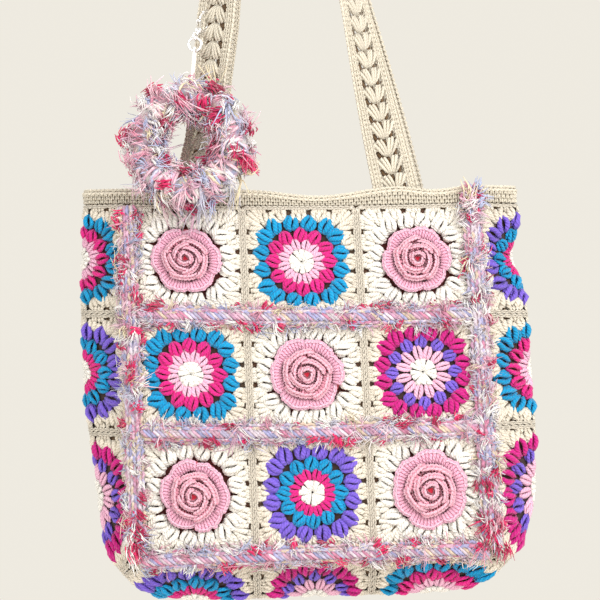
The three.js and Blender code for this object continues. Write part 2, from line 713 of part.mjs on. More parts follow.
// The band of cells between stations, each open cell with a three-cornered hole
function strapBody(stations) {
  const points = [];
  const faces = [];
  const half = STRAP_WIDTH / 2;
  const edges = stations.map((station) => {
    const first = points.length;
    for (const across of [-half, half]) {
      for (const out of [1, -1]) points.push(stationPoint(station, across, (out * STRAP_WALL) / 2));
    }
    return first;
  });
  const quad = (a, b, c, d) => faces.push([a, b, c], [a, c, d]);
  for (let i = 0; i < stations.length - 1; i += 1) {
    const [a, b] = [edges[i], edges[i + 1]];
    quad(a, a + 1, b + 1, b);
    quad(a + 2, b + 2, b + 3, a + 3);
    if (!stations[i].open) {
      quad(a, b, b + 2, a + 2);
      quad(a + 1, a + 3, b + 3, b + 1);
      continue;
    }
    const length = stations[i].centre.distanceTo(stations[i + 1].centre);
    const between = (share, across, out) =>
      stationPoint(stations[i], across, out).lerp(stationPoint(stations[i + 1], across, out), share);
    const margin = (length - HOLE_HEIGHT) / 2 / length;
    const upward = stations[i + 1].centre.z > stations[i].centre.z;
    const [wide, sharp] = upward ? [margin, 1 - margin] : [1 - margin, margin];
    const rim = points.length;
    for (const out of [1, -1]) {
      const depth = (out * STRAP_WALL) / 2;
      const half = HOLE_WIDTH / 2;
      points.push(between(wide, -half, depth), between(wide, half, depth), between(sharp, 0, depth));
    }
    const hole = upward ? [rim, rim + 1, rim + 2] : [rim + 2, rim + 1, rim];
    holeFaces(faces, quad, [a, a + 2, b + 2, b], rim, upward);
    for (let k = 0; k < 3; k += 1) {
      const [p, q] = [hole[k], hole[(k + 1) % 3]];
      quad(q, p, p + 3, q + 3);
    }
  }
  const last = edges.at(-1);
  quad(edges[0], edges[0] + 2, edges[0] + 3, edges[0] + 1);
  quad(last, last + 1, last + 3, last + 2);
  return body(points, faces);
}

// The two faces of a cell round its hole. Corners run a, b at the near end and c, d at the far end.
function holeFaces(faces, quad, [a, b, c, d], rim, upward) {
  const [left, right, tip] = [rim, rim + 1, rim + 2];
  const fan = upward
    ? [[a, b, right, left], [b, c, tip, right], [d, a, left, tip], [c, d, tip]]
    : [[c, d, left, right], [d, a, tip, left], [b, c, right, tip], [a, b, tip]];
  for (const corners of fan) {
    const outer = corners.slice().reverse();
    const inner = corners.map((i) => (i >= rim ? i + 3 : i + 1));
    for (const loop of [outer, inner]) {
      faces.push([loop[0], loop[1], loop[2]]);
      if (loop.length === 4) faces.push([loop[0], loop[2], loop[3]]);
    }
  }
}

// The clasp holds the front strap's left leg by the bar between two slits beside the middle column.
const CLASP_SHARE = 0.338; // of the leg's length
const CLASP_INSET = 11; // from the strap's edge to the bar's middle
const CLASP_ACROSS = CLASP_INSET - STRAP_WIDTH / 2;
const SLIT_HEIGHT = 10;
const SLIT_WIDTH = 6;
const BAR_HEIGHT = 7;
const [frontPath, backPath] = STRAPS.map(strapPath);
const hold = legStation(frontPath, true, CLASP_SHARE);
const barCentre = stationPoint(hold, CLASP_ACROSS, 0);
const strapUp = hold.out.clone().cross(hold.width).negate().normalize();
if (strapUp.z < 0) strapUp.negate();

const BLOCK_SIDES = [[0, 1, 3, 2], [4, 6, 7, 5], [0, 4, 5, 1], [2, 3, 7, 6], [0, 2, 6, 4], [1, 5, 7, 3]];
function block(centre, axes, sizes) {
  const points = [];
  for (const i of [-1, 1]) {
    for (const j of [-1, 1]) {
      for (const k of [-1, 1]) {
        points.push(
          centre
            .clone()
            .addScaledVector(axes[0], (i * sizes[0]) / 2)
            .addScaledVector(axes[1], (j * sizes[1]) / 2)
            .addScaledVector(axes[2], (k * sizes[2]) / 2),
        );
      }
    }
  }
  return body(points, BLOCK_SIDES.flatMap(([a, b, c, d]) => [[a, b, c], [a, c, d]]));
}

const slits = [-1, 1].map((way) =>
  block(
    barCentre.clone().addScaledVector(strapUp, (way * (BAR_HEIGHT + SLIT_HEIGHT)) / 2),
    [hold.width, strapUp, hold.out],
    [SLIT_WIDTH, SLIT_HEIGHT, STRAP_WALL * 3],
  ),
);
piece('front_strap', cut(strapBody(strapStations(frontPath)), ...slits), 'cream');
piece('back_strap', strapBody(strapStations(backPath)), 'cream');

// The clasp's own frame: drop runs from the hook to the swivel, open from its spine to its lever.
const CLASP_DROP = vector(-16, -17, -25).normalize();
const claspDrop = CLASP_DROP.clone().addScaledVector(hold.width, -CLASP_DROP.dot(hold.width)).normalize();
const claspAxle = hold.width.clone().normalize();
const claspOpen = claspAxle.clone().cross(claspDrop).normalize();
if (claspOpen.dot(hold.out) < 0) claspOpen.negate();
const BAR_IN_CLASP = { drop: -4.6, open: -1.2 };
const claspCentre = barCentre
  .clone()
  .addScaledVector(claspDrop, -BAR_IN_CLASP.drop)
  .addScaledVector(claspOpen, -BAR_IN_CLASP.open);
const inClasp = (drop, open, axle = 0) =>
  claspCentre
    .clone()
    .addScaledVector(claspDrop, drop)
    .addScaledVector(claspOpen, open)
    .addScaledVector(claspAxle, axle);

const PIVOT = { drop: CLASP_STRAIGHT + 2.5, open: CLASP_HALF_WIDTH - 0.6 };
const BASE_TOP = 11;
const BASE_END = 16;
const BASE_RADIUS = 3.2;
const PIN_RADIUS = 0.6;
const LEVER_EYE = 1.9;
const LEVER_HALF_WIDTH = 1.2;
const CHEEK = 0.8;
const CHEEK_WIDTH = 2.8;
const RUNNING = 0.3;
const WIRE_SIDES = 6;
const ARC_POINTS = 6;

// A round bar between two points
function bar(from, to, radius, sides) {
  const way = to.clone().sub(from).normalize();
  const aside = Math.abs(way.dot(claspOpen)) < 0.9 ? claspOpen : claspDrop;
  return wire([from, to], aside.clone().cross(way).normalize(), radius, sides, false);
}

function claspBody() {
  const hook = [inClasp(BASE_TOP + 1, -0.5), inClasp(BASE_TOP - 2.5, -CLASP_HALF_WIDTH * 0.6)];
  hook.push(inClasp(CLASP_STRAIGHT, -CLASP_HALF_WIDTH));
  for (let i = 0; i <= ARC_POINTS; i += 1) {
    const angle = (Math.PI * i) / ARC_POINTS;
    const [drop, open] = [Math.sin(angle), Math.cos(angle)].map((part) => -CLASP_HALF_WIDTH * part);
    hook.push(inClasp(drop - CLASP_STRAIGHT, open));
  }
  const spine = wire(hook, claspAxle, CLASP_WIRE, WIRE_SIDES, false);
  const foot = bar(inClasp(BASE_TOP, 0), inClasp(BASE_END, 0), BASE_RADIUS, 8);
  const cheekMiddle = LEVER_HALF_WIDTH + RUNNING + CHEEK / 2;
  const cheeks = [-1, 1].flatMap((side) => {
    const at = (drop, open) => inClasp(drop, open, side * cheekMiddle);
    const low = at(BASE_TOP + 1.2, 1);
    const high = at(PIVOT.drop - 1.2, PIVOT.open + 0.9);
    const way = high.clone().sub(low);
    const long = way.clone().normalize();
    const wide = long.clone().cross(claspAxle).normalize();
    const middle = low.clone().addScaledVector(way, 0.5);
    return [block(middle, [long, wide, claspAxle], [way.length(), CHEEK_WIDTH, CHEEK])];
  });
  const reach = cheekMiddle + CHEEK / 4;
  const [near, far] = [-reach, reach].map((axle) => inClasp(PIVOT.drop, PIVOT.open, axle));
  const pin = bar(near, far, PIN_RADIUS, 8);
  return fuse(spine, foot, ...cheeks, pin);
}
piece('clasp_body', claspBody(), 'metal', 0.25, 1);

// The lever turns on the pin and closes against the hook's nose.
function claspLever() {
  const ring = 12;
  const sections = Array.from({ length: ring }, (_, i) => {
    const angle = (2 * Math.PI * i) / ring;
    const corner = (radius, axle) =>
      inClasp(PIVOT.drop + radius * Math.cos(angle), PIVOT.open + radius * Math.sin(angle), axle);
    const inner = PIN_RADIUS + RUNNING;
    return [
      corner(inner, -LEVER_HALF_WIDTH),
      corner(LEVER_EYE, -LEVER_HALF_WIDTH),
      corner(LEVER_EYE, LEVER_HALF_WIDTH),
      corner(inner, LEVER_HALF_WIDTH),
    ];
  });
  const start = inClasp(PIVOT.drop - LEVER_EYE + 0.4, PIVOT.open);
  const end = inClasp(-CLASP_STRAIGHT + GAP, CLASP_HALF_WIDTH);
  return fuse(loft(sections, true), bar(start, end, 1.05, WIRE_SIDES));
}
piece('clasp_lever', claspLever(), 'metal', 0.25, 1);

// The swivel: a stub under the clasp and an eye that lies across the ring
function circle(centre, a, b, radius, count) {
  return Array.from({ length: count }, (_, i) => onCircle(centre, a, b, radius, (2 * Math.PI * i) / count));
}
const STUB_END = BASE_END + GAP + 2.2;
const eyeDrop = STUB_END + EYE_RADIUS;
const eyeCentre = inClasp(eyeDrop, 0);
function swivel() {
  const stub = bar(inClasp(BASE_END + GAP, 0), inClasp(STUB_END + 0.3, 0), 2.2, 8);
  const path = circle(eyeCentre, claspDrop, claspOpen, EYE_RADIUS, 12);
  const eye = wire(path, claspAxle, EYE_WIRE, WIRE_SIDES, true);
  return fuse(stub, eye);
}
piece('swivel', swivel(), 'metal', 0.3, 1);

// The split ring hangs in the eye and faces the front.
const down = vector(0, 0, -1);
const ringAxle = vector(-0.25, -1, 0).normalize();
const ringSide = ringAxle.clone().cross(down).normalize();
const ringTop = eyeCentre.clone().addScaledVector(down, EYE_RADIUS - EYE_WIRE - RING_WIRE - GAP);
const ringCentre = ringTop.clone().addScaledVector(down, RING_RADIUS);
const ringPath = circle(ringCentre, down, ringSide, RING_RADIUS, 14);
piece('split_ring', wire(ringPath, ringAxle, RING_WIRE, WIRE_SIDES, true), 'metal', 0.25, 1);

// The cord loop hangs on the ring and reaches the hair band.
const loopTop = ringCentre.clone().addScaledVector(down, RING_RADIUS - RING_WIRE - LOOP_WIRE - 2 * GAP);
const loopDown = vector(-0.08, -0.22, -1).normalize();
const loopSide = ringAxle.clone().addScaledVector(loopDown, -ringAxle.dot(loopDown)).normalize();
const loopAxle = loopDown.clone().cross(loopSide).normalize();
function cordLoop() {
  const path = [];
  const straight = LOOP_LENGTH - 2 * LOOP_HALF_WIDTH;
  const arcs = [
    { centre: loopTop.clone().addScaledVector(loopDown, LOOP_HALF_WIDTH), start: Math.PI },
    { centre: loopTop.clone().addScaledVector(loopDown, LOOP_HALF_WIDTH + straight), start: 0 },
  ];
  for (const { centre, start } of arcs) {
    for (let i = 0; i <= 5; i += 1) {
      path.push(onCircle(centre, loopSide, loopDown, LOOP_HALF_WIDTH, start + (Math.PI * i) / 5));
    }
  }
  return wire(path, loopAxle, LOOP_WIRE, WIRE_SIDES, true);
}
piece('drop_loop', cordLoop(), 'cord', 0.6);

// The hair band: a fluffy tube in a ring, with locks fused to it. The loop reaches its upper back.
const loopEnd = loopTop.clone().addScaledVector(loopDown, LOOP_LENGTH + LOOP_WIRE + GAP);
const leanBack = radians(4);
const ringUp = vector(0.03, Math.sin(leanBack), Math.cos(leanBack)).normalize();
const ringFace = vector(-0.12, -1, 0.06).normalize();
const hairUp = ringUp.clone().addScaledVector(ringFace, -ringUp.dot(ringFace)).normalize();
const hairSide = ringFace.clone().cross(hairUp).normalize();
const HAIR_RINGS = 20;
const HAIR_SIDES = 8;
const tubeFlat = SCRUNCHIE_TUBE * Math.cos(Math.PI / HAIR_SIDES); // to the middle of the tube's flats
const tubeTop = loopEnd
  .clone()
  .addScaledVector(hairUp, -tubeFlat * Math.cos(LOOP_ANGLE))
  .addScaledVector(ringFace, tubeFlat * Math.sin(LOOP_ANGLE));
const hairCentre = tubeTop.clone().addScaledVector(hairUp, -SCRUNCHIE_RADIUS);
const HAIR_LOCKS = 28;
const GOLDEN = Math.PI * (3 - Math.sqrt(5));
function hairPoint(around, about, tube) {
  const way = hairUp.clone().multiplyScalar(Math.cos(around)).addScaledVector(hairSide, Math.sin(around));
  return hairCentre
    .clone()
    .addScaledVector(way, SCRUNCHIE_RADIUS + tube * Math.cos(about))
    .addScaledVector(ringFace, tube * Math.sin(about));
}
function hairBand() {
  const sections = Array.from({ length: HAIR_RINGS }, (_, i) => {
    const around = (2 * Math.PI * i) / HAIR_RINGS;
    return Array.from({ length: HAIR_SIDES }, (_, j) =>
      hairPoint(around, (2 * Math.PI * j) / HAIR_SIDES, SCRUNCHIE_TUBE),
    );
  });
  const locks = [];
  for (let i = 0; i < HAIR_LOCKS; i += 1) {
    const around = (2 * Math.PI * (i + 0.5)) / HAIR_LOCKS;
    const about = radians(-20) + ((i * GOLDEN) % Math.PI);
    const foot = hairPoint(around, about, SCRUNCHIE_TUBE - 3);
    const tip = hairPoint(around + 0.12, about + 0.2, SCRUNCHIE_TUBE + SCRUNCHIE_LOCK);
    locks.push(lock(foot, tip, SCRUNCHIE_LOCK_RADIUS));
  }
  return fuse(loft(sections, true), ...locks);
}
piece('scrunchie', hairBand(), 'fluff');

export default group;
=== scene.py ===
# A crochet shoulder bag of granny squares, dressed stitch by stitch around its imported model.
# The shape code works in millimetres and the meshes are in metres. The front faces -Y, +Z is up, and the
# origin is where the straps bear on the peg.
import math

import bpy
import numpy as np
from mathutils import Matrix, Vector


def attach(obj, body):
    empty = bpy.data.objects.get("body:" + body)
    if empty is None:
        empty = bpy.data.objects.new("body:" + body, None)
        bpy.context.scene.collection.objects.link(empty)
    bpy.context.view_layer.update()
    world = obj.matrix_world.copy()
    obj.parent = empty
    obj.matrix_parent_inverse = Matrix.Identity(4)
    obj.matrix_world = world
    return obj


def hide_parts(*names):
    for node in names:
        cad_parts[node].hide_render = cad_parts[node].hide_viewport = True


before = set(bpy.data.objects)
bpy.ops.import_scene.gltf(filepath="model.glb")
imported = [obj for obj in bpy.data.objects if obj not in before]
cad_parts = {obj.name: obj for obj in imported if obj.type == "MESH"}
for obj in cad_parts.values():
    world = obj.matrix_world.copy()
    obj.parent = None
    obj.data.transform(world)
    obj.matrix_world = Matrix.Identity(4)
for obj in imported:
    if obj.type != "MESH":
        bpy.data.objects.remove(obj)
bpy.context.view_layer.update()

MM = 0.001
TAU = 2 * math.pi

# Driving dimensions, as the solids have them
SQUARE = 117.0
HALF_SQUARE = SQUARE / 2
WALL = 4.5
GAP = 0.4
RIM_DROP = 557.0
BAG_SHIFT = 33.5
BAND_HEIGHT = 14.0
STRAP_WIDTH = 43.0
STRAP_WALL = 4.5
STRAP_PITCH = 18.5
STRAP_TAIL = 15.0
PEG_RADIUS = 8.0
STRAP_SPACE = 4.0
SCRUNCHIE_RADIUS = 45.0
SCRUNCHIE_TUBE = 19.0
LOOP_ANGLE = 0.42
STRIP_ROUNDING = 1.7
HALF_ACROSS = 1.5
ROWS = 3
TOP_LIMIT = -0.2
CLASP_HALF_WIDTH = 8.5
CLASP_STRAIGHT = 4.0
CLASP_TOP = 11.0
CLASP_END = 16.0
CLASP_SHARE = 0.338  # the clasp's place on the left leg
EYE_RADIUS = 3.4
RING_RADIUS = 6.6
RING_WIRE = 1.1
LOOP_WIRE = 1.2
LOOP_HALF_WIDTH = 3.1
LOOP_LENGTH = 35.0

# The bag's seams and sides, in squares and degrees, by rows down the panel or squares across it
SEAMS = {
    "row": (0, 1, 2, 3),
    "left": (0, 0.94, 1.957, 3.04),
    "middle": (0.02, 0.974, 1.949, 2.974),
    "right": (-0.01, 0.94, 1.897, 2.94),
    "half": (1.466, 1.477, 1.487, 1.5),
    "shift": (0, 0.05, 0.095, 0.14),
    "depth": (0.25, 0.32, 0.34, 0.31),
    "bulge": (0.04, 0.1, 0.12, 0.05),
}
LEFT_SIDE = {
    "at": (-0.2, 0.4, 1, 1.8, 2.2, 2.6, 2.85, 3),
    "reach": (0.36, 0.4, 0.43, 0.42, 0.37, 0.33, 0.29, 0.2),
    "turn": (0, 0, 0, 0, 0, 6, 26, 45),
}
RIGHT_SIDE = {
    "at": (-0.2, 0.1, 0.46, 0.8, 1.5, 2.1, 2.6, 2.85, 3),
    "reach": (0.32, 0.42, 0.33, 0.42, 0.435, 0.44, 0.4, 0.31, 0.2),
    "turn": (0, 0, 0, 0, 0, 0, 6, 26, 45),
}
BASE = {
    "at": (0, 0.8, 1.2, 1.38, 1.5),
    "reach": (0.385, 0.385, 0.36, 0.29, 0.2),
    "turn": (90, 90, 76, 62, 45),
}
RIM = {"at": (-1.5, -0.4, 0.2, 0.85, 1.2, 1.5), "lift": (0, 0.05, -0.38, 0.25, -0.05, 0.2)}

# Yarn colours and painted shade colours, linear
CREAM = (0.8, 0.735, 0.635)
ECRU = (0.75, 0.69, 0.58)
IVORY = (0.86, 0.82, 0.745)
WHITE = (0.9, 0.88, 0.84)
LIGHT_PINK = (0.88, 0.5, 0.68)
HOT_PINK = (0.72, 0.018, 0.24)
TURQUOISE = (0.003, 0.31, 0.62)
PURPLE = (0.2, 0.12, 0.66)
MAGENTA = (0.6, 0.014, 0.24)
# Painted shade: near-black put under a burst's stitches, seen between them as shadow
SHADE = (0.05, 0.028, 0.022)
# Painted shade: dark red put under the stitches round a rose, seen between them as shadow
MAROON_SHADE = (0.07, 0.012, 0.01)
# Painted shade: tan put under the cream stitches and behind the band, seen between them as shadow
DUN_SHADE = (0.2, 0.13, 0.08)
HOLLOW_SHADE = (0.18, 0.108, 0.054)  # painted shade: loops behind the openwork, coloured dark so the holes look shadowed
ROSE = (0.85, 0.35, 0.47)
ROSE_EDGE = (0.9, 0.52, 0.64)
ROSE_RIM = (0.91, 0.46, 0.63)
ROSE_RIM_EDGE = (0.93, 0.6, 0.76)
# Painted shade: dark red under and between a rose's petals
SALMON_SHADE = (0.55, 0.02, 0.05)
RASPBERRY = (0.55, 0.008, 0.1)
BARE = (1, 1, 1)  # metal takes its colour from its material


def along(table, key, place, column):
    """A smooth value from a table's column: a cubic through its rows."""
    keys, values = np.array(table[key], float), np.array(table[column], float)
    place = np.asarray(place, float)
    last = len(keys) - 1
    i = np.clip(np.searchsorted(keys, place, side="left") - 1, 0, last - 1)
    before, after = np.maximum(i - 1, 0), np.minimum(i + 2, last)
    span = keys[i + 1] - keys[i]
    u = np.clip((place - keys[i]) / span, -0.4, 1.2)
    slope_a = (values[i + 1] - values[before]) / (keys[i + 1] - keys[before]) * span
    slope_b = (values[after] - values[i]) / (keys[after] - keys[i]) * span
    return (
        (2 * u**3 - 3 * u**2 + 1) * values[i]
        + (u**3 - 2 * u**2 + u) * slope_a
        + (3 * u**2 - 2 * u**3) * values[i + 1]
        + (u**3 - u**2) * slope_b
    )


def unit(v):
    return v / np.maximum(np.linalg.norm(v, axis=-1, keepdims=True), 1e-9)


def vec(*xyz):
    return np.array(xyz, float)


def points_of(x, y, z):
    return np.stack(np.broadcast_arrays(x, y, z), -1)


def lerp(a, b, t):
    return a + (b - a) * t


def smoothstep(x, low, high):
    t = np.clip((x - low) / (high - low), 0, 1)
    return t * t * (3 - 2 * t)


def curve(values, t):
    """A smooth value through a foot, a middle and a top."""
    foot, middle, top = values
    return foot * (1 - t) * (1 - 2 * t) + middle * 4 * t * (1 - t) + top * t * (2 * t - 1)


def turns(count):
    return TAU * np.arange(count) / count


def polar(radius, angles):
    return np.stack([radius * np.cos(angles), radius * np.sin(angles)], -1)


def run_lengths(points):
    """The distance along a line of points."""
    return np.concatenate([[0], np.cumsum(np.linalg.norm(np.diff(points, axis=0), axis=1))])


def read(values, keys, places):
    """Three-part values between their keys."""
    return np.stack([np.interp(places, keys, values[:, c]) for c in range(3)], -1)


# The bag's surfaces: squares across and squares down to a point in millimetres


def panel_point(side, across, down):
    """The front panel's middle surface with side -1, the back's with side 1."""
    row = np.maximum(down, TOP_LIMIT)
    u = across / HALF_ACROSS
    names = list(SEAMS)[1:]
    left, middle, right, half, shift, depth, bulge = (along(SEAMS, "row", row, name) for name in names)
    sink = middle + (right - left) / 2 * u + ((left + right) / 2 - middle) * u * u
    x = BAG_SHIFT + SQUARE * (half * u + shift)
    return points_of(x, side * SQUARE * (depth + bulge * (1 - u * u)), -RIM_DROP - SQUARE * sink)


def front_point(across, down):
    return panel_point(-1, across, down)


def back_point(across, down):
    return panel_point(1, across, down)


def strip_point(table, seam, direction, place, across):
    """The strip of side and base squares. Across is -1 at the front's edge and 1 at the back's."""
    reach = SQUARE * along(table, "at", np.abs(place), "reach")
    turn = np.radians(along(table, "at", np.abs(place), "turn"))
    out = reach * (1 - np.abs(across) ** STRIP_ROUNDING)
    x = seam[..., 0] + direction * np.cos(turn) * out
    return points_of(x, np.abs(seam[..., 1]) * across, seam[..., 2] - np.sin(turn) * out)


def left_point(down, across):
    return strip_point(LEFT_SIDE, front_point(-HALF_ACROSS, down), -1, np.maximum(down, TOP_LIMIT), across)


def right_point(down, across):
    return strip_point(RIGHT_SIDE, front_point(HALF_ACROSS, down), 1, np.maximum(down, TOP_LIMIT), across)


def base_point(place, across):
    return strip_point(BASE, front_point(place, float(ROWS)), np.sign(place), place, across)


def rim_height(across):
    return BAND_HEIGHT * (1 + along(RIM, "at", np.clip(across, -HALF_ACROSS, HALF_ACROSS), "lift"))


BAG_MIDDLE = vec(BAG_SHIFT + 0.07 * SQUARE, 0, -RIM_DROP - 1.5 * SQUARE)


def normal_of(surface, u, v, step=0.004):
    du = surface(u + step, v) - surface(u - step, v)
    dv = surface(u, v + step) - surface(u, v - step)
    n = unit(np.cross(du, dv))
    outward = np.sum(n * (surface(u, v) - BAG_MIDDLE), -1, keepdims=True)
    return np.where(outward < 0, -n, n)


def over_fabric(surface, u, v, height):
    return surface(u, v) + normal_of(surface, u, v) * (WALL / 2 + height)


class Fold:
    """Evens a strip's width out along its arc, so that stitches keep their size round the fold."""

    PLACES = 72
    SHARES = 80

    def __init__(self, surface, first, last):
        self.surface, self.first, self.span = surface, first, last - first
        across = np.linspace(-1, 1, self.SHARES + 1)
        shares = np.linspace(0, 1, self.SHARES + 1)
        points = surface(*np.meshgrid(np.linspace(first, last, self.PLACES + 1), across, indexing="ij"))
        runs = [run_lengths(row) for row in points]
        self.table = np.array([np.interp(shares, run / run[-1], across) for run in runs])

    def read(self, place, share):
        i = np.clip((place - self.first) / self.span, 0, 1) * self.PLACES
        j = np.clip(share, 0, 1) * self.SHARES
        i0 = np.minimum(i.astype(int), self.PLACES - 1)
        j0 = np.minimum(j.astype(int), self.SHARES - 1)
        low, high = (lerp(self.table[k, j0], self.table[k, j0 + 1], j - j0) for k in (i0, i0 + 1))
        return lerp(low, high, i - i0)


FOLDS = {
    "left": Fold(left_point, 0, ROWS),
    "right": Fold(right_point, 0, ROWS),
    "base": Fold(base_point, -HALF_ACROSS, HALF_ACROSS),
}
RIGHT_FOLD = 0.055  # how far the right side's squares are pushed round its fold, in squares


def panel_patch(surface, row, column):
    """Maps flat millimetres from a square's middle, and height over the fabric, onto a panel."""

    def place(flat):
        across = column - 0.5 - HALF_ACROSS + flat[:, 0] / SQUARE
        return over_fabric(surface, across, row - 0.5 + flat[:, 1] / SQUARE, flat[:, 2:3])

    return place


def strip_patch(name, index):
    """Maps flat millimetres from a square's middle onto a side or the base."""
    fold = FOLDS[name]
    first = index - 0.5 - (HALF_ACROSS if name == "base" else 0)
    push = RIGHT_FOLD if name == "right" else 0

    def place(flat):
        at, across = (flat[:, 0], flat[:, 1]) if name == "base" else (flat[:, 1], flat[:, 0])
        at, share = first + at / SQUARE, across / SQUARE
        across = fold.read(at, 0.5 + share + push * (1 - 4 * share**2))
        return over_fabric(fold.surface, at, across, flat[:, 2:3])

    return place


# Materials


def new_material(name):
    material = bpy.data.materials.new(name)
    material.use_nodes = True
    return material, material.node_tree, material.node_tree.nodes["Principled BSDF"]


def fill(tree, node, inputs):
    """Sets a node's inputs to values, or links them to other nodes' outputs."""
    for key, value in inputs.items():
        if isinstance(value, bpy.types.NodeSocket):
            tree.links.new(value, node.inputs[key])
        else:
            node.inputs[key].default_value = value


def add_node(tree, kind, inputs, **settings):
    node = tree.nodes.new(kind)
    for name, value in settings.items():
        setattr(node, name, value)
    fill(tree, node, inputs)
    return node.outputs


def maths(tree, operation, *values):
    return add_node(tree, "ShaderNodeMath", dict(enumerate(values)), operation=operation)[0]


def noise(tree, scale, detail):
    place = add_node(tree, "ShaderNodeTexCoord", {})["Object"]
    return add_node(tree, "ShaderNodeTexNoise", {"Vector": place, "Scale": scale, "Detail": detail})["Fac"]


def yarn_material(name, pitch, plies, depth, roughness, sheen, fuzz):
    """Plied yarn: the colour of each strand, a twist along it, and loose fibres over it. The colour is
    darker in the twist's grooves, as painted shade, and varies at random with the fibres.
    """
    material, tree, shader = new_material(name)
    fibres = noise(tree, 900, 3)
    strand = add_node(tree, "ShaderNodeUVMap", {}, uv_map="strand")["UV"]
    parts = add_node(tree, "ShaderNodeSeparateXYZ", {0: strand})
    turn = maths(tree, "MULTIPLY", parts[0], TAU / pitch)
    twist = maths(tree, "SINE", maths(tree, "MULTIPLY_ADD", parts[1], TAU * plies, turn))
    height = maths(tree, "MULTIPLY_ADD", fibres, fuzz, twist)
    bump = add_node(tree, "ShaderNodeBump", {"Distance": depth * MM, "Strength": 1, "Height": height})
    # Painted shade in the twist's grooves, and a random tone from the fibres
    shade = maths(tree, "MULTIPLY_ADD", twist, 0.09, 0.88)
    shade = maths(tree, "MULTIPLY_ADD", fibres, 0.12, shade)
    colour = add_node(tree, "ShaderNodeAttribute", {}, attribute_name="yarn")["Color"]
    colour = add_node(tree, "ShaderNodeVectorMath", {0: colour, "Scale": shade}, operation="SCALE")[0]
    fill(tree, shader, {
        "Base Color": colour, "Normal": bump["Normal"], "Roughness": roughness, "Sheen Weight": sheen,
        "Sheen Roughness": 0.5, "Specular IOR Level": 0.25,
    })
    return material


def metal_material():
    """Polished nickel with faint wear."""
    material, tree, shader = new_material("nickel")
    rough = maths(tree, "MULTIPLY_ADD", noise(tree, 320, 4), 0.12, 0.2)
    fill(tree, shader, {"Metallic": 1, "Base Color": (0.92, 0.92, 0.94, 1), "Roughness": rough})
    return material


COTTON = yarn_material("cotton_yarn", pitch=3.4, plies=3, depth=0.32, roughness=0.85, sheen=0.2, fuzz=0.8)
FLUFF = yarn_material("fluffy_yarn", pitch=6.0, plies=1, depth=0.05, roughness=0.55, sheen=0.4, fuzz=0.6)
NICKEL = metal_material()


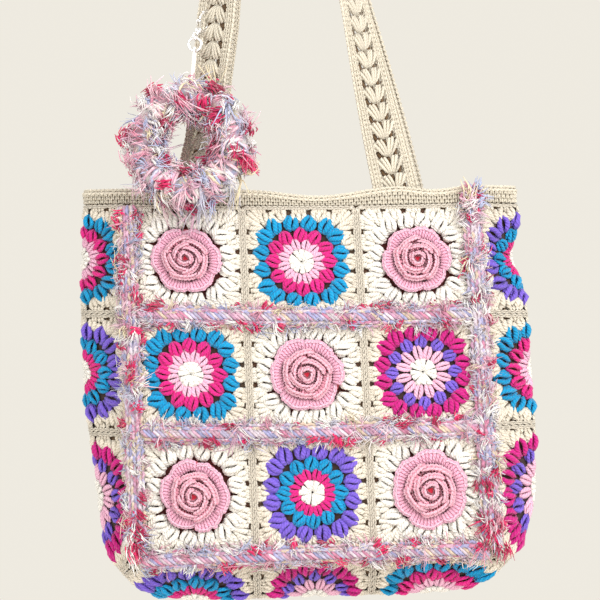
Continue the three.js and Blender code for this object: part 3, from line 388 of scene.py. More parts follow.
class Knit:
    """Gathers strands and surfaces, and makes one mesh of them."""

    def __init__(self, seed):
        self.rng = np.random.default_rng(seed)
        self.points, self.tints, self.faces, self.weave = [], [], [], []
        self.count = 0

    def add(self, points, tints, faces):
        """Faces are pairs: corner indices (face, corner) and their strand coordinates (face, corner, 2)."""
        self.points.append(points.reshape(-1, 3))
        self.tints.append(np.broadcast_to(tints, points.shape).reshape(-1, 3))
        for corners, weave in faces:
            self.faces.append(corners + self.count)
            self.weave.append(np.broadcast_to(weave, (*corners.shape, 2)))
        self.count += len(self.points[-1])

    def vary(self, tint, count, spread=0.05):
        """One colour for each strand, a little lighter or darker."""
        return np.asarray(tint) * (1 + self.rng.uniform(-spread, spread, (count, 1)))

    def strands(self, paths, wide, tall, tint, sides=5, up=(0, 0, 1)):
        """Strands along paths (strand, ring, xyz), with half a strand's width and height at each ring."""
        total, rings = paths.shape[:2]
        wide, tall = (np.broadcast_to(size, (total, rings))[..., None, None] for size in (wide, tall))
        way = unit(np.gradient(paths, axis=1))
        side = unit(np.cross(way, np.broadcast_to(up, paths.shape)) + 1e-7)
        lift = np.cross(side, way)
        angle = turns(sides)[:, None] - TAU / 4
        points = paths[:, :, None] + side[:, :, None] * np.cos(angle) * wide
        points = points + lift[:, :, None] * np.sin(angle) * tall
        steps = np.linalg.norm(np.diff(paths, axis=1), axis=-1)
        lengths = np.concatenate([np.zeros((total, 1)), np.cumsum(steps, 1)], 1)
        lengths = lengths + self.rng.uniform(0, 10, (total, 1))
        t, i, j = (index.ravel() for index in np.indices((total, rings - 1, sides)))
        near = (t * rings + i) * sides
        far, k = near + sides, (j + 1) % sides
        u0, u1 = lengths[t, i], lengths[t, i + 1]
        weave = np.stack([np.stack([u0, u1, u1, u0], 1), np.stack([j, j, j + 1, j + 1], 1) / sides], -1)
        first = np.arange(total)[:, None] * rings * sides + np.arange(sides)
        tints = np.asarray(tint, float)
        if tints.ndim > 1:
            tints = tints.reshape(total, -1, 1, 3)
        self.add(points, tints, [
            (np.stack([near + j, far + j, far + k, near + k], 1), weave),
            (first, (0, 0)),
            (first[:, ::-1] + (rings - 1) * sides, (0, 0)),
        ])

    def sheet(self, points, tint, closed=False, flip=False):
        """A surface over a grid of points (u, v, xyz) that is closed along v, and along u where asked."""
        rows, columns = points.shape[:2]
        i, j = (index.ravel() for index in np.indices((rows if closed else rows - 1, columns)))
        k, m = (i + 1) % rows, (j + 1) % columns
        quads = np.stack([i * columns + j, k * columns + j, k * columns + m, i * columns + m], 1)
        self.add(points, tint, [(quads[:, ::-1] if flip else quads, (0, 0))])

    def body(self, section, tints):
        """A closed body through sections (station, corner, xyz), capped at both ends."""
        self.sheet(section, tints)
        first = np.arange(section.shape[1])[None]
        self.add(section[0], tints[0], [(first, (0, 0))])
        self.add(section[-1], tints[-1], [(first[:, ::-1], (0, 0))])

    def piece(self, name, material, replaced, place=None, body="bag"):
        points = np.concatenate(self.points)
        step = 1
        if place:
            x, y, h = np.diff(place(np.eye(4, 3, -1)), axis=0).cumsum(0)
            step = -1 if np.dot(np.cross(x, y), h) < 0 else 1
            points = place(points)
        faces = []
        for corners in self.faces:
            faces.extend(corners[:, ::step].tolist())
        weave = np.concatenate([values[:, ::step].reshape(-1, 2) for values in self.weave])
        tints = np.clip(np.concatenate(self.tints), 0, 1)
        mesh = bpy.data.meshes.new(name)
        mesh.from_pydata((points * MM).tolist(), [], faces)
        colours = mesh.color_attributes.new("yarn", "FLOAT_COLOR", "POINT")
        colours.data.foreach_set("color", np.insert(tints, 3, 1, 1).astype(np.float32).ravel())
        layer = mesh.uv_layers.new(name="strand")
        layer.uv.foreach_set("vector", weave.astype(np.float32).ravel())
        mesh.polygons.foreach_set("use_smooth", np.ones(len(mesh.polygons), bool))
        mesh.materials.append(material)
        obj = bpy.data.objects.new(name, mesh)
        bpy.context.scene.collection.objects.link(obj)
        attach(obj, body)
        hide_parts(replaced)


# Stitches

WANDER = 0.55  # how far a stitch strays from its even place
BOW = 0.5  # how far a group's outer posts sink beside its middle ones
TALLEST_POST = 2.4
STITCH_REACH = 1.35  # how far a chain stitch runs, in steps of the chain


def axes_between(knit, base, tip, rings):
    """Even points from each base to its tip, a little astray, and the way sideways."""
    base = base + knit.rng.normal(0, WANDER * 0.6, base.shape)
    tip = tip + knit.rng.normal(0, WANDER, tip.shape)
    t = np.linspace(0, 1, rings)
    ahead = unit(tip - base)
    side = np.stack([-ahead[:, 1], ahead[:, 0]], -1)
    return t, base[:, None, None] + (tip - base)[:, None, None] * t[:, None], side[:, None, None]


def cluster(knit, base, tip, posts, spread, wide, crown, tint, rings, sides):
    """Groups of posts side by side from base to tip (group, xy). How far the outer posts stand off the
    axis, half a post's width and its height are each given at the foot, the middle and the top."""
    t, line, side = axes_between(knit, base, tip, rings)
    k = np.linspace(-1, 1, posts)[:, None] if posts > 1 else np.zeros((1, 1))
    line = line + side * (k * curve(spread, t))[..., None]
    height = curve(crown, t) - BOW * k**2 * np.sin(np.pi * t)
    paths = points_of(line[..., 0], line[..., 1], height).reshape(-1, rings, 3)
    paths = paths + knit.rng.normal(0, 0.14, (len(paths), 1, 3))
    half = curve(wide, t)
    knit.strands(paths, half, np.minimum(half * 1.25, TALLEST_POST), knit.vary(tint, len(paths)), sides)


def puffs(knit, base, tip, girth, tint, rings, sides, strands):
    """Plump puffs: strands that part, wind a little round each other and meet again in a point."""
    t, line, side = axes_between(knit, base, tip, rings)
    groups = len(line)
    phase = turns(strands) + knit.rng.uniform(0, TAU, (groups, 1))
    turn = phase[..., None] + knit.rng.uniform(0.7, 1.7, (groups, 1, 1)) * t
    swell = girth * curve((0.45, 1.05, 0.25), t)
    line = line + side * (swell * np.sin(turn))[..., None]
    height = curve((-2.4, -1.1, -1.7), t) + 0.5 * swell * np.cos(turn)
    paths = points_of(line[..., 0], line[..., 1], height).reshape(-1, rings, 3)
    half = girth * curve((0.36, 0.47, 0.25), t)
    knit.strands(paths, half, half, knit.vary(tint, len(paths), 0.1), sides)


def chain(knit, line, pitch, half, thick, tint, rings=4, sides=5, up=(0, 0, 1)):
    """Interlocking V stitches along a line of points, in one colour or in several to draw from."""
    lengths = run_lengths(line)
    count = max(int(round(lengths[-1] / pitch)), 1)
    pitch = lengths[-1] / count
    t = np.linspace(0, 1, rings)
    s = np.clip(np.arange(count)[:, None] * pitch + t * STITCH_REACH * pitch, 0, lengths[-1])
    lift = unit(read(np.broadcast_to(up, line.shape), lengths, s))
    side = unit(np.cross(read(np.gradient(line, axis=0), lengths, s), lift))
    spread = half * curve((0.35, 1, 0.12), t)[:, None]
    spine = read(line, lengths, s) + lift * (thick * curve((-0.7, 0.15, -0.2), t))[:, None]
    paths = np.concatenate([spine - side * spread, spine + side * spread])
    radius = thick * curve((0.75, 1, 0.6), t)
    tint = np.asarray(tint, float)
    if tint.ndim == 2:
        tint = tint[knit.rng.integers(0, len(tint), len(paths))]
    tones = knit.vary(tint, len(paths), 0.04)
    knit.strands(paths, radius, radius, tones, sides, np.concatenate([lift, lift]))


# Squares

# How finely a square is worked: a post's rings and sides, strands in a puff, and the pitch of the last row
# and of the seam
FINE = (6, 6, 5, 4.3, 5.6)
PLAIN = (5, 4, 4, 5.4, 6.5)
ROUND = 16  # groups in a round
SIDE_PUFFS = (34, 50)  # radii at a puff's foot and tip
CORNER_PUFFS = (37, 54.5)
SIDE_GROUPS = 42.5  # where the cream groups start
CORNER_GROUPS = 50
CORNER_FAN = (57, 74)
SINGLE_LEAN = math.radians(12.2)  # of the two middle puffs on each side
PAIR_FOOT = math.radians(6.2)  # of the two puffs at each corner
PAIR_TIP = math.radians(11.5)
GROUP_EDGE = 51.5  # where the cream groups end and the last row starts
EDGE_GROUP = 21.4  # from one group of the last row to the next
EDGE_GATHER = 0.7  # how far a group's posts draw together
SEAM_INSET = 2.05
HEART = 51  # radius of the dark painted shade under a square's rounds; tan painted shade lies outside it

# The colours of a burst's middle, petals, puffs and last round, then where its middle and petals end, and
# the foot, tip and girth of its puffs
BURSTS = {
    "pink": (WHITE, LIGHT_PINK, HOT_PINK, TURQUOISE, 12.5, 24.5, 21, 36.5, 5.3),
    "violet": (WHITE, HOT_PINK, TURQUOISE, PURPLE, 12, 24, 21, 36, 5.3),
    "orchid": (WHITE, LIGHT_PINK, PURPLE, MAGENTA, 13.5, 28, 25.5, 39, 4.6),
}
FRONT_BURSTS = {(1, 2): "pink", (2, 1): "pink", (2, 3): "orchid", (3, 2): "violet"}
BACK_BURSTS = ("violet", "pink", "orchid")
STRIP_BURSTS = {
    "left": ("pink", "violet", "orchid"),
    "right": ("violet", "pink", "orchid"),
    "base": ("violet", "orchid", "pink"),
}


def squircle(half, angles, power=3.5):
    """Points on a square with round corners, whose sides lie half from the middle."""
    reach = half / (np.abs(np.cos(angles)) ** power + np.abs(np.sin(angles)) ** power) ** (1 / power)
    return polar(reach, angles)


def square_edge(half, angles):
    return polar(half / np.maximum(np.abs(np.cos(angles)), np.abs(np.sin(angles))), angles)


def backing(knit, tint):
    """The fabric under the stitches. Its outer face is painted shade, near-black or dark red under the
    rounds and brown under the last rows, seen through the holes as shadow; its inner face is cream.
    """
    places = np.linspace(0.6 - HALF_SQUARE, HALF_SQUARE - 0.6, 12)
    x, y = np.meshgrid(places, np.concatenate([places, places[::-1]]), indexing="ij")
    top = (np.arange(24) < 12)[:, None]
    tints = np.where(top, np.where(np.hypot(x, y)[..., None] < HEART, tint, DUN_SHADE), CREAM)
    knit.body(points_of(x, y, np.where(top[:, 0], -2.9, -3.5)), tints)


def outer_rounds(knit, tint, detail, girth=6.0, ground=CREAM):
    """The last coloured round of puffs, the cream groups that square it off, the last row and the seam."""
    rings, sides, strands, pitch, seam_pitch = detail
    quarter = turns(4)
    corner = quarter + TAU / 8
    for lean in (-1, 1):
        single = quarter + lean * SINGLE_LEAN
        foot, tip = (polar(radius, single) for radius in SIDE_PUFFS)
        puffs(knit, foot, tip, girth, tint, rings, sides, strands)
        foot, tip = map(polar, CORNER_PUFFS, (corner + lean * PAIR_FOOT, corner + lean * PAIR_TIP))
        puffs(knit, foot, tip, girth, tint, rings, sides, strands)
    middle = turns(ROUND)[np.arange(ROUND) % 4 != 2]
    rings, sides = rings - 1, max(sides - 1, 4)
    cluster(knit, squircle(SIDE_GROUPS, middle), square_edge(GROUP_EDGE, middle), 3,
            (1.2, 5.2, 5.8), (1.3, 3.0, 2.6), (-1.8, 0.1, -1.2), ground, rings, sides)
    for lean in (-1, 1):
        foot = polar(CORNER_GROUPS, corner + lean * 0.05)
        tip = square_edge(GROUP_EDGE, corner + lean * 0.18)
        cluster(knit, foot, tip, 3,
                (1.2, 4.6, 6.2), (1.4, 2.9, 2.9), (-1.8, -0.3, -1), ground, rings, sides)
    foot, tip = (polar(radius, corner) for radius in CORNER_FAN)
    cluster(knit, foot, tip, 3,
            (1.2, 4.4, 5.4), (1.4, 2.8, 2.6), (-1.8, -0.3, -1.2), ground, rings, sides)
    edge_posts(knit, pitch, rings - 1, 0.95 * np.array(ground))
    edge_chain(knit, seam_pitch, rings - 1)


def edge_posts(knit, pitch, rings, tint):
    """The last row: short posts in groups, with a hole between two groups, out to the square's edge."""
    t = np.linspace(0, 1, rings)
    count = int(SQUARE / pitch)
    s = ((np.arange(count) + 0.5) / count - 0.5) * (SQUARE - 5)
    group = np.round(s / EDGE_GROUP) * EDGE_GROUP
    s = group + (s - group) * EDGE_GATHER + knit.rng.normal(0, 0.2, count)
    for angle in turns(4):
        out = lerp(GROUP_EDGE - 1.6, HALF_SQUARE - 3.0, t) + knit.rng.normal(0, 0.3, (count, 1))
        across = s[:, None] * lerp(0.97, 1, t)
        x = out * math.cos(angle) - across * math.sin(angle)
        y = out * math.sin(angle) + across * math.cos(angle)
        paths = points_of(x, y, curve((-1.7, -0.1, -0.9), t))
        knit.strands(paths, curve((1.4, 2.05, 1.7), t), 1.7, knit.vary(tint, count, 0.1), 4)


def edge_chain(knit, pitch, rings):
    """The raised seam round a square."""
    half = HALF_SQUARE - SEAM_INSET
    corners = np.array([[-half, -half, 0.7], [half, -half, 0.7], [half, half, 0.7], [-half, half, 0.7]])
    for a, b in zip(corners, np.roll(corners, -1, 0)):
        line = lerp(a, b, np.linspace(0, 1, 30)[:, None])
        chain(knit, line, pitch, 1.25, 1.15, 0.94 * np.array(CREAM), rings, 4)


def burst_square(knit, kind, detail):
    """A round burst: a white middle, petals, puffs and the outer rounds."""
    rings, sides, strands = detail[:3]
    centre, petal, inner, last, middle, petal_tip, puff_foot, puff_tip, girth = BURSTS[kind]
    twelfth = turns(12)
    half_step = twelfth + TAU / 24
    backing(knit, SHADE)
    cluster(knit, polar(1.2, twelfth), polar(middle, twelfth), 1,
            (0, 0, 0), (0.8, 2.2, 3.5), (-0.9, -0.2, -0.9), centre, rings, sides)
    cluster(knit, polar(middle - 0.5, half_step), polar(petal_tip, half_step), 2,
            (1, 2.6, 1.4), (1.5, 2.4, 1.5), (-1.7, -0.3, -1.6), petal, rings, sides)
    puffs(knit, polar(puff_foot, twelfth), polar(puff_tip, twelfth), girth, inner, rings, sides, strands)
    outer_rounds(knit, last, detail)


def rose_square(knit, detail):
    """What lies round and under a rose."""
    backing(knit, MAROON_SHADE)
    # Posts under the rose, in dark red painted shade
    cluster(knit, polar(2, turns(12)), polar(32, turns(12)), 1,
            (0, 0, 0), (0.8, 3, 4.4), (-2.4, -2.4, -2.4), SALMON_SHADE, 3, 4)
    outer_rounds(knit, WHITE, detail, 6.2, IVORY)


def square(seed, kind, detail, part, number, place):
    knit = Knit(seed)
    if kind:
        burst_square(knit, kind, detail)
    else:
        rose_square(knit, detail)
    knit.piece(f"{part}_crochet_{number}", COTTON, f"{part}_square_{number}", place)


def squares():
    for row in range(1, 4):
        for column in range(1, 4):
            seed, number = row * 10 + column, f"{row}_{column}"
            kind = FRONT_BURSTS.get((row, column))
            square(seed, kind, FINE, "front", number, panel_patch(front_point, row, column))
            kind = BACK_BURSTS[(row + column) % 3]
            square(100 + seed, kind, PLAIN, "back", number, panel_patch(back_point, row, column))
    for seed, (name, kinds) in enumerate(STRIP_BURSTS.items()):
        for i, kind in enumerate(kinds, 1):
            square(200 + seed * 10 + i, kind, PLAIN, name, i, strip_patch(name, i))


# Roses

POST = 4.0  # width of a petal's post
PETAL_OUT = (0, 0.06, 0.28, 0.62, 0.88, 1)
PETAL_UP = (0, 0.45, 0.88, 1, 0.93, 0.74)
# Painted shade: each petal darker towards its foot, a little lighter at its top
PETAL_SHADE = (0.42, 0.55, 0.85, 1, 1.03, 1.05)
RIM_END = vec(0.96, 0.96, 0.9)
# Rings from the outside in, in the order that petals() takes them
ROSE_RINGS = (
    (6, 21, 37, 0.6, 5.2, 0.08, 1.9, 0.15, ROSE_RIM, ROSE_RIM_EDGE, 1.5),
    (5, 16, 25, 3.5, 11.3, 0.1, 1.6, 0.7, ROSE, ROSE_EDGE, 2.5),
    (4, 9.5, 17.5, 6.5, 13.3, 0.16, 2, 0.6, ROSE, ROSE_EDGE, 2.3),
    (3, 3.2, 8.6, 8, 14.6, 0.08, 1.2, 0.5, ROSE, ROSE_EDGE, 2),
)
ROSE_SCALES = {(1, 1): 0.95, (1, 3): 0.95, (2, 2): 1.01, (3, 1): 0.94, (3, 3): 1.03}
BED_RADIUS = (0, 33.5, 32.5, 25, 20, 17, 12, 8, 3, 0.5, 0)
BED_HEIGHT = (-1.6, -1.6, 0.2, 1.2, 4.5, 6, 8.5, 10.5, 12.4, 12, 12)


def petals(knit, turn, count, inner, outer, low, high, lap, slant, flat, tint, edge, ribbon):
    """A ring of curled petals of short posts. Each starts under the one before and ends over the next."""
    rng = knit.rng
    step = TAU / count
    for p in range(count):
        sweep = step * (1 + 2 * lap) * rng.uniform(0.94, 1.06)
        middle = turn + step * p + rng.normal(0, 0.05)
        posts = max(int(round(sweep * outer / POST)), 4)
        q = (np.arange(posts)[:, None] + 0.5) / posts
        off = sweep * (q - 0.5)
        cos, sin = np.cos(middle + off), np.sin(middle + off)
        full = np.sin(np.pi * q) ** 0.6
        stretch, rise = rng.uniform(0.93, 1.08), rng.uniform(0.9, 1.1)
        lean = slant * (2 * q - 1)
        reach = (outer - inner) * (0.55 + 0.45 * full) * (stretch + rng.normal(0, 0.035, (posts, 1)))
        lift = (high - low) * (0.72 + 0.28 * full) * (rise + rng.normal(0, 0.03, (posts, 1)))
        chord = lerp(1, np.cos(sweep / 2) / np.cos(off), flat) * (1 + 0.5 * flat * (1 - np.cos(sweep / 2)))
        radius = (inner + reach * PETAL_OUT) * chord + lean
        shape = points_of(radius * cos, radius * sin, low + 0.6 * lean + lift * PETAL_UP)
        # Painted shade: tones darken towards each petal's foot
        tones = knit.vary(tint, posts, 0.07)[:, None] * np.array(PETAL_SHADE)[:, None]
        outward = unit(points_of(cos, sin, 0.9))
        knit.strands(shape, sweep * radius / posts / 2 * 1.12, 1.3, tones, 5, outward)
        outward = outward[:, 0]
        rim = shape[:, -2] + outward * 0.6
        line = np.concatenate([rim[:1] * RIM_END, rim, rim[-1:] * RIM_END])
        ups = np.concatenate([outward[:1], outward, outward[-1:]])
        chain(knit, line, 4.2, ribbon, 0.7 + 0.3 * ribbon, edge, up=ups)


def roses():
    for (row, column), scale in ROSE_SCALES.items():
        knit = Knit(300 + row * 10 + column)
        x, y = np.moveaxis(polar(np.array(BED_RADIUS)[:, None], turns(30)), -1, 0)
        # The bed under the petals, in dark red painted shade seen between the rings
        knit.sheet(points_of(x, y, np.array(BED_HEIGHT)[:, None]), SALMON_SHADE, flip=True)
        for ring in ROSE_RINGS:
            petals(knit, knit.rng.uniform(0, TAU), *ring)
        knit.points = [points * [scale, scale, 1] for points in knit.points]
        knit.piece(f"rose_crochet_{row}_{column}", COTTON, f"rose_{row}_{column}",
                   panel_patch(front_point, row, column))


# The band round the mouth

BAND_ROW = 3.7  # height of a row of stitches
BAND_STITCH = 5.2


def close(ring):
    return np.concatenate([ring, ring[:1]])


def band_track():
    """Foot, top and outward way at even steps round the mouth, and the distance along it."""
    t = np.linspace(0, 1, 200, endpoint=False)
    feet, tops = [], []
    for panel, side, hand in ((front_point, right_point, 1), (back_point, left_point, -1)):
        at = lerp(-hand, hand, t)
        across = at * HALF_ACROSS
        high = rim_height(hand * HALF_ACROSS) / SQUARE + 0 * at
        feet += [panel(across, 0 * at), side(0 * at, at)]
        tops += [panel(across, -rim_height(across) / SQUARE), side(-high, at)]
    feet, tops = close(np.concatenate(feet)), close(np.concatenate(tops))
    lengths = run_lengths(feet)
    even = np.linspace(0, lengths[-1], 721)[:-1]
    feet, tops = read(feet, lengths, even), read(tops, lengths, even)
    out = unit(np.cross(np.roll(feet, -4, 0) - np.roll(feet, 4, 0), vec(0, 0, 1)))
    return close(feet), close(tops), close(out), lengths[-1]


def band():
    feet, tops, out, length = band_track()
    ring = np.linspace(0, length, len(feet))

    def place(flat):
        """Millimetres round the mouth, millimetres up and height over the fabric."""
        foot, top, way = (read(values, ring, flat[:, 0] % length) for values in (feet, tops, out))
        return lerp(foot, top, flat[:, 1:2] / BAND_HEIGHT) + unit(way) * (WALL / 2 + flat[:, 2:3])

    knit = Knit(400)
    high = BAND_HEIGHT - 0.6
    # The sheet behind the band's stitches, in tan painted shade seen between them
    core = points_of(ring[:-1:3, None], (0.3, high, high, 0.3), (-2.3, -2.3, -3.1, -3.1))
    knit.sheet(core, DUN_SHADE, closed=True, flip=True)
    stitches = int(length / BAND_STITCH)
    pitch = length / stitches
    t = np.linspace(0, 1, 3)
    half = curve((0.9, 1.45, 1.2), t)
    for row in range(3):
        start = (np.arange(stitches)[:, None] + 0.5 * (row % 2)) * pitch
        for hand in (-1, 1):
            x = start + hand * pitch * curve((0.1, 0.3, 0.3), t)
            paths = points_of(x, 0.4 + BAND_ROW * (row + 1.05 * t), curve((-2, -1, -1.3), t))
            paths = paths + knit.rng.normal(0, 0.12, (stitches, 1, 3))
            knit.strands(paths, half, half * 1.5, knit.vary(ECRU, stitches, 0.06), 4)
    knit.points = [place(np.concatenate(knit.points))]
    rim = tops + out * 0.9 - vec(0, 0, 0.3)
    chain(knit, rim, BAND_STITCH, 2.1, 1.75, np.array(ECRU) * 1.1, 4, 4, unit(out + vec(0, 0, 0.5)))
    chain(knit, tops - out * 1.8 - vec(0, 0, 0.4), 6.5, 1.7, 1.6, ECRU, 3, 4)
    knit.piece("mouth_band", COTTON, "top_band")


# Straps

# How far the left and the right leg have turned edge-on, in degrees, at shares of their height
LEG_TURNS = (
    ((0, 0.12, 0.246, CLASP_SHARE, 0.35, 1), (0, 38, 40, 31.869, 33, 90)),
    ((0, 0.35, 1), (0, 50, 90)),
)
# Each strap's side of the bag, its feet's places in squares, and its rings, sides and chain rings
STRAPS = {"front": (-1, -0.6, 1.155, 5, 5, 4), "back": (1, -0.56, 1.22, 4, 4, 3)}
# A fan's posts from the middle out: places of top and foot across, bend, and start and end along
FAN = ((4.9, 0.9, 2.2, 0, 0.99), (8.4, 1.9, 1.2, 0.02, 0.98), (12.6, 2.8, 0.8, 0.05, 0.86))
# Loops behind the holes, coloured in painted shade: place across, start and end along, and half width
HOLLOWS = ((0, 0.0, 0.42, 2.0), (-8.6, 0.62, 1.06, 2.2), (8.6, 0.62, 1.06, 2.2))


class Strap:
    """A strap's centre line with its width and outward ways, read by cells from its left foot."""

    def __init__(self, side, left, right):
        self.side = side
        self.peg = vec(0, side * (STRAP_SPACE + STRAP_WIDTH) / 2, -PEG_RADIUS)
        self.reach = STRAP_WALL / 2 + PEG_RADIUS
        self.feet = self.foot(left), self.foot(right)
        left, right = (int(round(np.linalg.norm(foot - self.peg) / STRAP_PITCH)) for foot in self.feet)
        tail = STRAP_TAIL / STRAP_PITCH
        over = math.pi * self.reach / STRAP_PITCH
        self.first, self.last = -tail, left + over + right + tail
        up, round_peg = np.linspace(0, 1, left * 6 + 1), np.linspace(0, 1, 26)[1:-1]
        down = np.linspace(1, 0, right * 6 + 1)
        stations = (self.leg(0, [0]), self.leg(0, up), self.arc(round_peg * math.pi), self.leg(1, down),
                    self.leg(1, [0]))
        self.cells = np.concatenate([
            [self.first], up * left, left + round_peg * over, left + over + (1 - down) * right, [self.last],
        ])
        self.line = [np.concatenate(values) for values in zip(*stations)]
        self.line[0][[0, -1], 2] -= STRAP_TAIL

    def foot(self, x):
        across = (x * SQUARE - BAG_SHIFT) / (SQUARE * SEAMS["half"][0]) * HALF_ACROSS
        half = STRAP_WIDTH / 2 / SQUARE
        off, drop = np.meshgrid((-half, 0, half), (-BAND_HEIGHT, 0, STRAP_TAIL))
        rim = np.abs(front_point(across + off, drop / SQUARE)[..., 1]).min()
        return vec(x * SQUARE, self.side * (rim - WALL / 2 - STRAP_WALL / 2 - 2 * GAP), -RIM_DROP)

    def leg(self, right, share):
        """Centre, width and outward way at shares of the left leg (0) or the right one (1)."""
        share = np.asarray(share, float)[:, None]
        foot, hand = self.feet[right], 1 - 2 * right
        flank = self.peg - vec(hand * self.reach, 0, 0)
        centre = lerp(foot, flank, share)
        centre[:, 1:2] = lerp(foot[1], flank[1], smoothstep(share, 0.08, 1))
        up = unit(flank - foot)
        lean = up[:1] * (1 - smoothstep(share, 0.9, 1))
        tangent = unit(points_of(lean[:, 0], 0, up[2]))
        angle = np.radians(np.interp(share, *LEG_TURNS[right]))
        level = unit(vec(1, 0, 0) - tangent * tangent[:, :1])
        width = level * hand * np.cos(angle) + vec(0, self.side, 0) * np.sin(angle)
        return centre, width, np.cross(tangent * hand, width) * self.side

    def arc(self, angle):
        out = points_of(-np.cos(angle), 0, np.sin(angle))
        return self.peg + out * self.reach, np.broadcast_to(vec(0, self.side, 0), out.shape), out

    def place(self, flat):
        """Maps millimetres across, along and out."""
        centre, width, out = (read(values, self.cells, flat[:, 1] / STRAP_PITCH) for values in self.line)
        return centre + unit(width) * flat[:, :1] + unit(out) * flat[:, 2:3]


def strap_fans(knit, strap, rings, sides):
    """Fans of posts, all worked into the hole of the fan before, from the right foot to the left one."""
    first = np.arange(math.ceil(strap.first), math.floor(strap.last))[:, None]
    t = np.linspace(0, 1, 3)
    # Loops behind the holes, in painted shade
    for across, low, high, half in HOLLOWS:
        drift = across - np.sign(across) * 2.4 * (t - 0.5)
        paths = points_of(drift, (first + lerp(low, high, t)) * STRAP_PITCH, -2.5)
        knit.strands(paths, half, 0.5, HOLLOW_SHADE, 4)
    t = np.linspace(0, 1, rings)

    def posts(across, back, height, half, sides):
        paths = points_of(across, (first + 1 - back) * STRAP_PITCH, height)
        paths = paths + knit.rng.normal(0, 0.15, (len(first), 1, 3))
        knit.strands(paths, half, half * 1.1, knit.vary(ECRU, len(paths), 0.08), sides)

    for hand in (-1, 1):
        for top, foot, bend, start, end in FAN:
            posts(hand * lerp(foot, top, t**bend), lerp(start, end, t), curve((-1.2, 0.9, -0.4), t),
                  curve((1.1, 1.75, 1.75), t), sides)
        posts(hand * curve((11, 13.2, 13.8), t), lerp(-0.06, 0.22, t), curve((-0.9, 0, -0.4), t),
              curve((0.9, 1.2, 1), t), 4)


def strap_edges(knit, strap, rings):
    """The double row along each edge: short posts between two chains."""
    low, high = strap.first * STRAP_PITCH, strap.last * STRAP_PITCH
    count = int((high - low) / 4.6)
    s = low + (np.arange(count)[:, None] + 0.5) * (high - low) / count
    t = np.linspace(0, 1, 3)
    for hand in (-1, 1):
        paths = points_of(hand * lerp(13, 18.8, t), s + 1.1 * (t - 0.5), curve((-1.1, 0.1, -0.5), t))
        knit.strands(paths, curve((1.5, 1.9, 1.7), t), 1.8, knit.vary(ECRU, count, 0.1), 4)
        for at, height, size in ((20.0, 0.3, 1.7), (14.6, 0.7, 1.35)):
            line = points_of(hand * at, np.linspace(low, high, 300), height)
            chain(knit, line, 5.1, size, size, np.array(ECRU) * 1.05, rings, 4)


def straps():
    for seed, (name, (side, left, right, rings, sides, chain_rings)) in enumerate(STRAPS.items()):
        strap = Strap(side, left, right)
        knit = Knit(500 + seed)
        strap_fans(knit, strap, rings, sides)
        strap_edges(knit, strap, chain_rings)
        knit.piece(f"{name}_shoulder_strap", COTTON, f"{name}_strap", strap.place)


# Fluffy yarn

FLUFF_TINTS = np.array([
    (0.8, 0.34, 0.47), (0.9, 0.6, 0.7), (0.5, 0.55, 0.8), (0.7, 0.7, 0.86),
    (0.9, 0.84, 0.84), (0.95, 0.92, 0.92), (0.9, 0.79, 0.55), (0.72, 0.44, 0.58),
])
FLUFF_SHARES = np.array([0.13, 0.2, 0.12, 0.14, 0.12, 0.1, 0.07, 0.12])
RIDGE_HEIGHT = 6.8
RIDGE_HALF = 9.2
RIDGE_FOOT = WALL / 2 + GAP
RIDGE_ROWS = (-7.2, -3.2, 3.2, 7.2)
RIDGE_TONE = np.array((0.71, 0.65, 0.74))
ROPE_PITCH = 4.4
ROPE_CLEAR = 24  # degrees at each side of a rope that loose hairs leave free
TRACK_POINTS = 160


def pastel(rng, count, brightness=1.0):
    """One of the fluffy yarn's colours for each strand."""
    return FLUFF_TINTS[rng.choice(len(FLUFF_TINTS), count, p=FLUFF_SHARES)] * brightness


def dusky(rng, count):
    return pastel(rng, count, 0.86)


def white_fluff(rng, count):
    return np.repeat([(0.95, 0.94, 0.94)], count, 0)


def raspberry(rng, count):
    return np.array(RASPBERRY) * rng.uniform(0.8, 1.6, (count, 1))


def tufts(
    knit, roots, each, length, width, tint, spread=0.3, lift=3, droop=0, gather=1.6, rings=3, curl=0.5
):
    """Tufts of loose hairs: each tuft's hairs leave one place, part and bow back towards the surface.
    Roots are the tufts' places and their ways along and out. Length and half width are ranges."""
    rng = knit.rng
    count = len(roots[0])
    total = count * each
    length = rng.uniform(*length, count)
    width = rng.uniform(*width, count) if isinstance(width, tuple) else np.full(count, width)
    every = (*roots, length, width, tint(rng, count))
    foot, way, out, length, width, tints = (np.repeat(values, each, axis=0) for values in every)
    start = foot + rng.normal(0, gather, (total, 3))
    flow = unit(way + rng.normal(0, spread, (total, 3)))
    size = (length * rng.uniform(0.6, 1.1, total))[:, None, None]
    bend = np.cross(flow, out) * np.repeat(rng.normal(0, curl, (count, 1)), each, axis=0)
    t = np.linspace(0, 1, rings)[:, None]
    path = start[:, None] + flow[:, None] * size * t + bend[:, None] * size * t**2
    path = path + rng.normal(0, 0.07, (total, rings, 3)) * size * t
    path = path + out[:, None] * (rng.uniform(0.2, 1, (total, 1, 1)) * lift * np.sin(np.pi * 0.85 * t))
    path[..., 2:] -= droop * size * t**2
    half = (width * rng.uniform(0.7, 1.2, total))[:, None] * curve((0.9, 1, 0.5), t[:, 0])
    tones = tints * rng.uniform(0.85, 1.08, (total, 1))
    knit.strands(path, half, half, tones, 3, out[:, None])


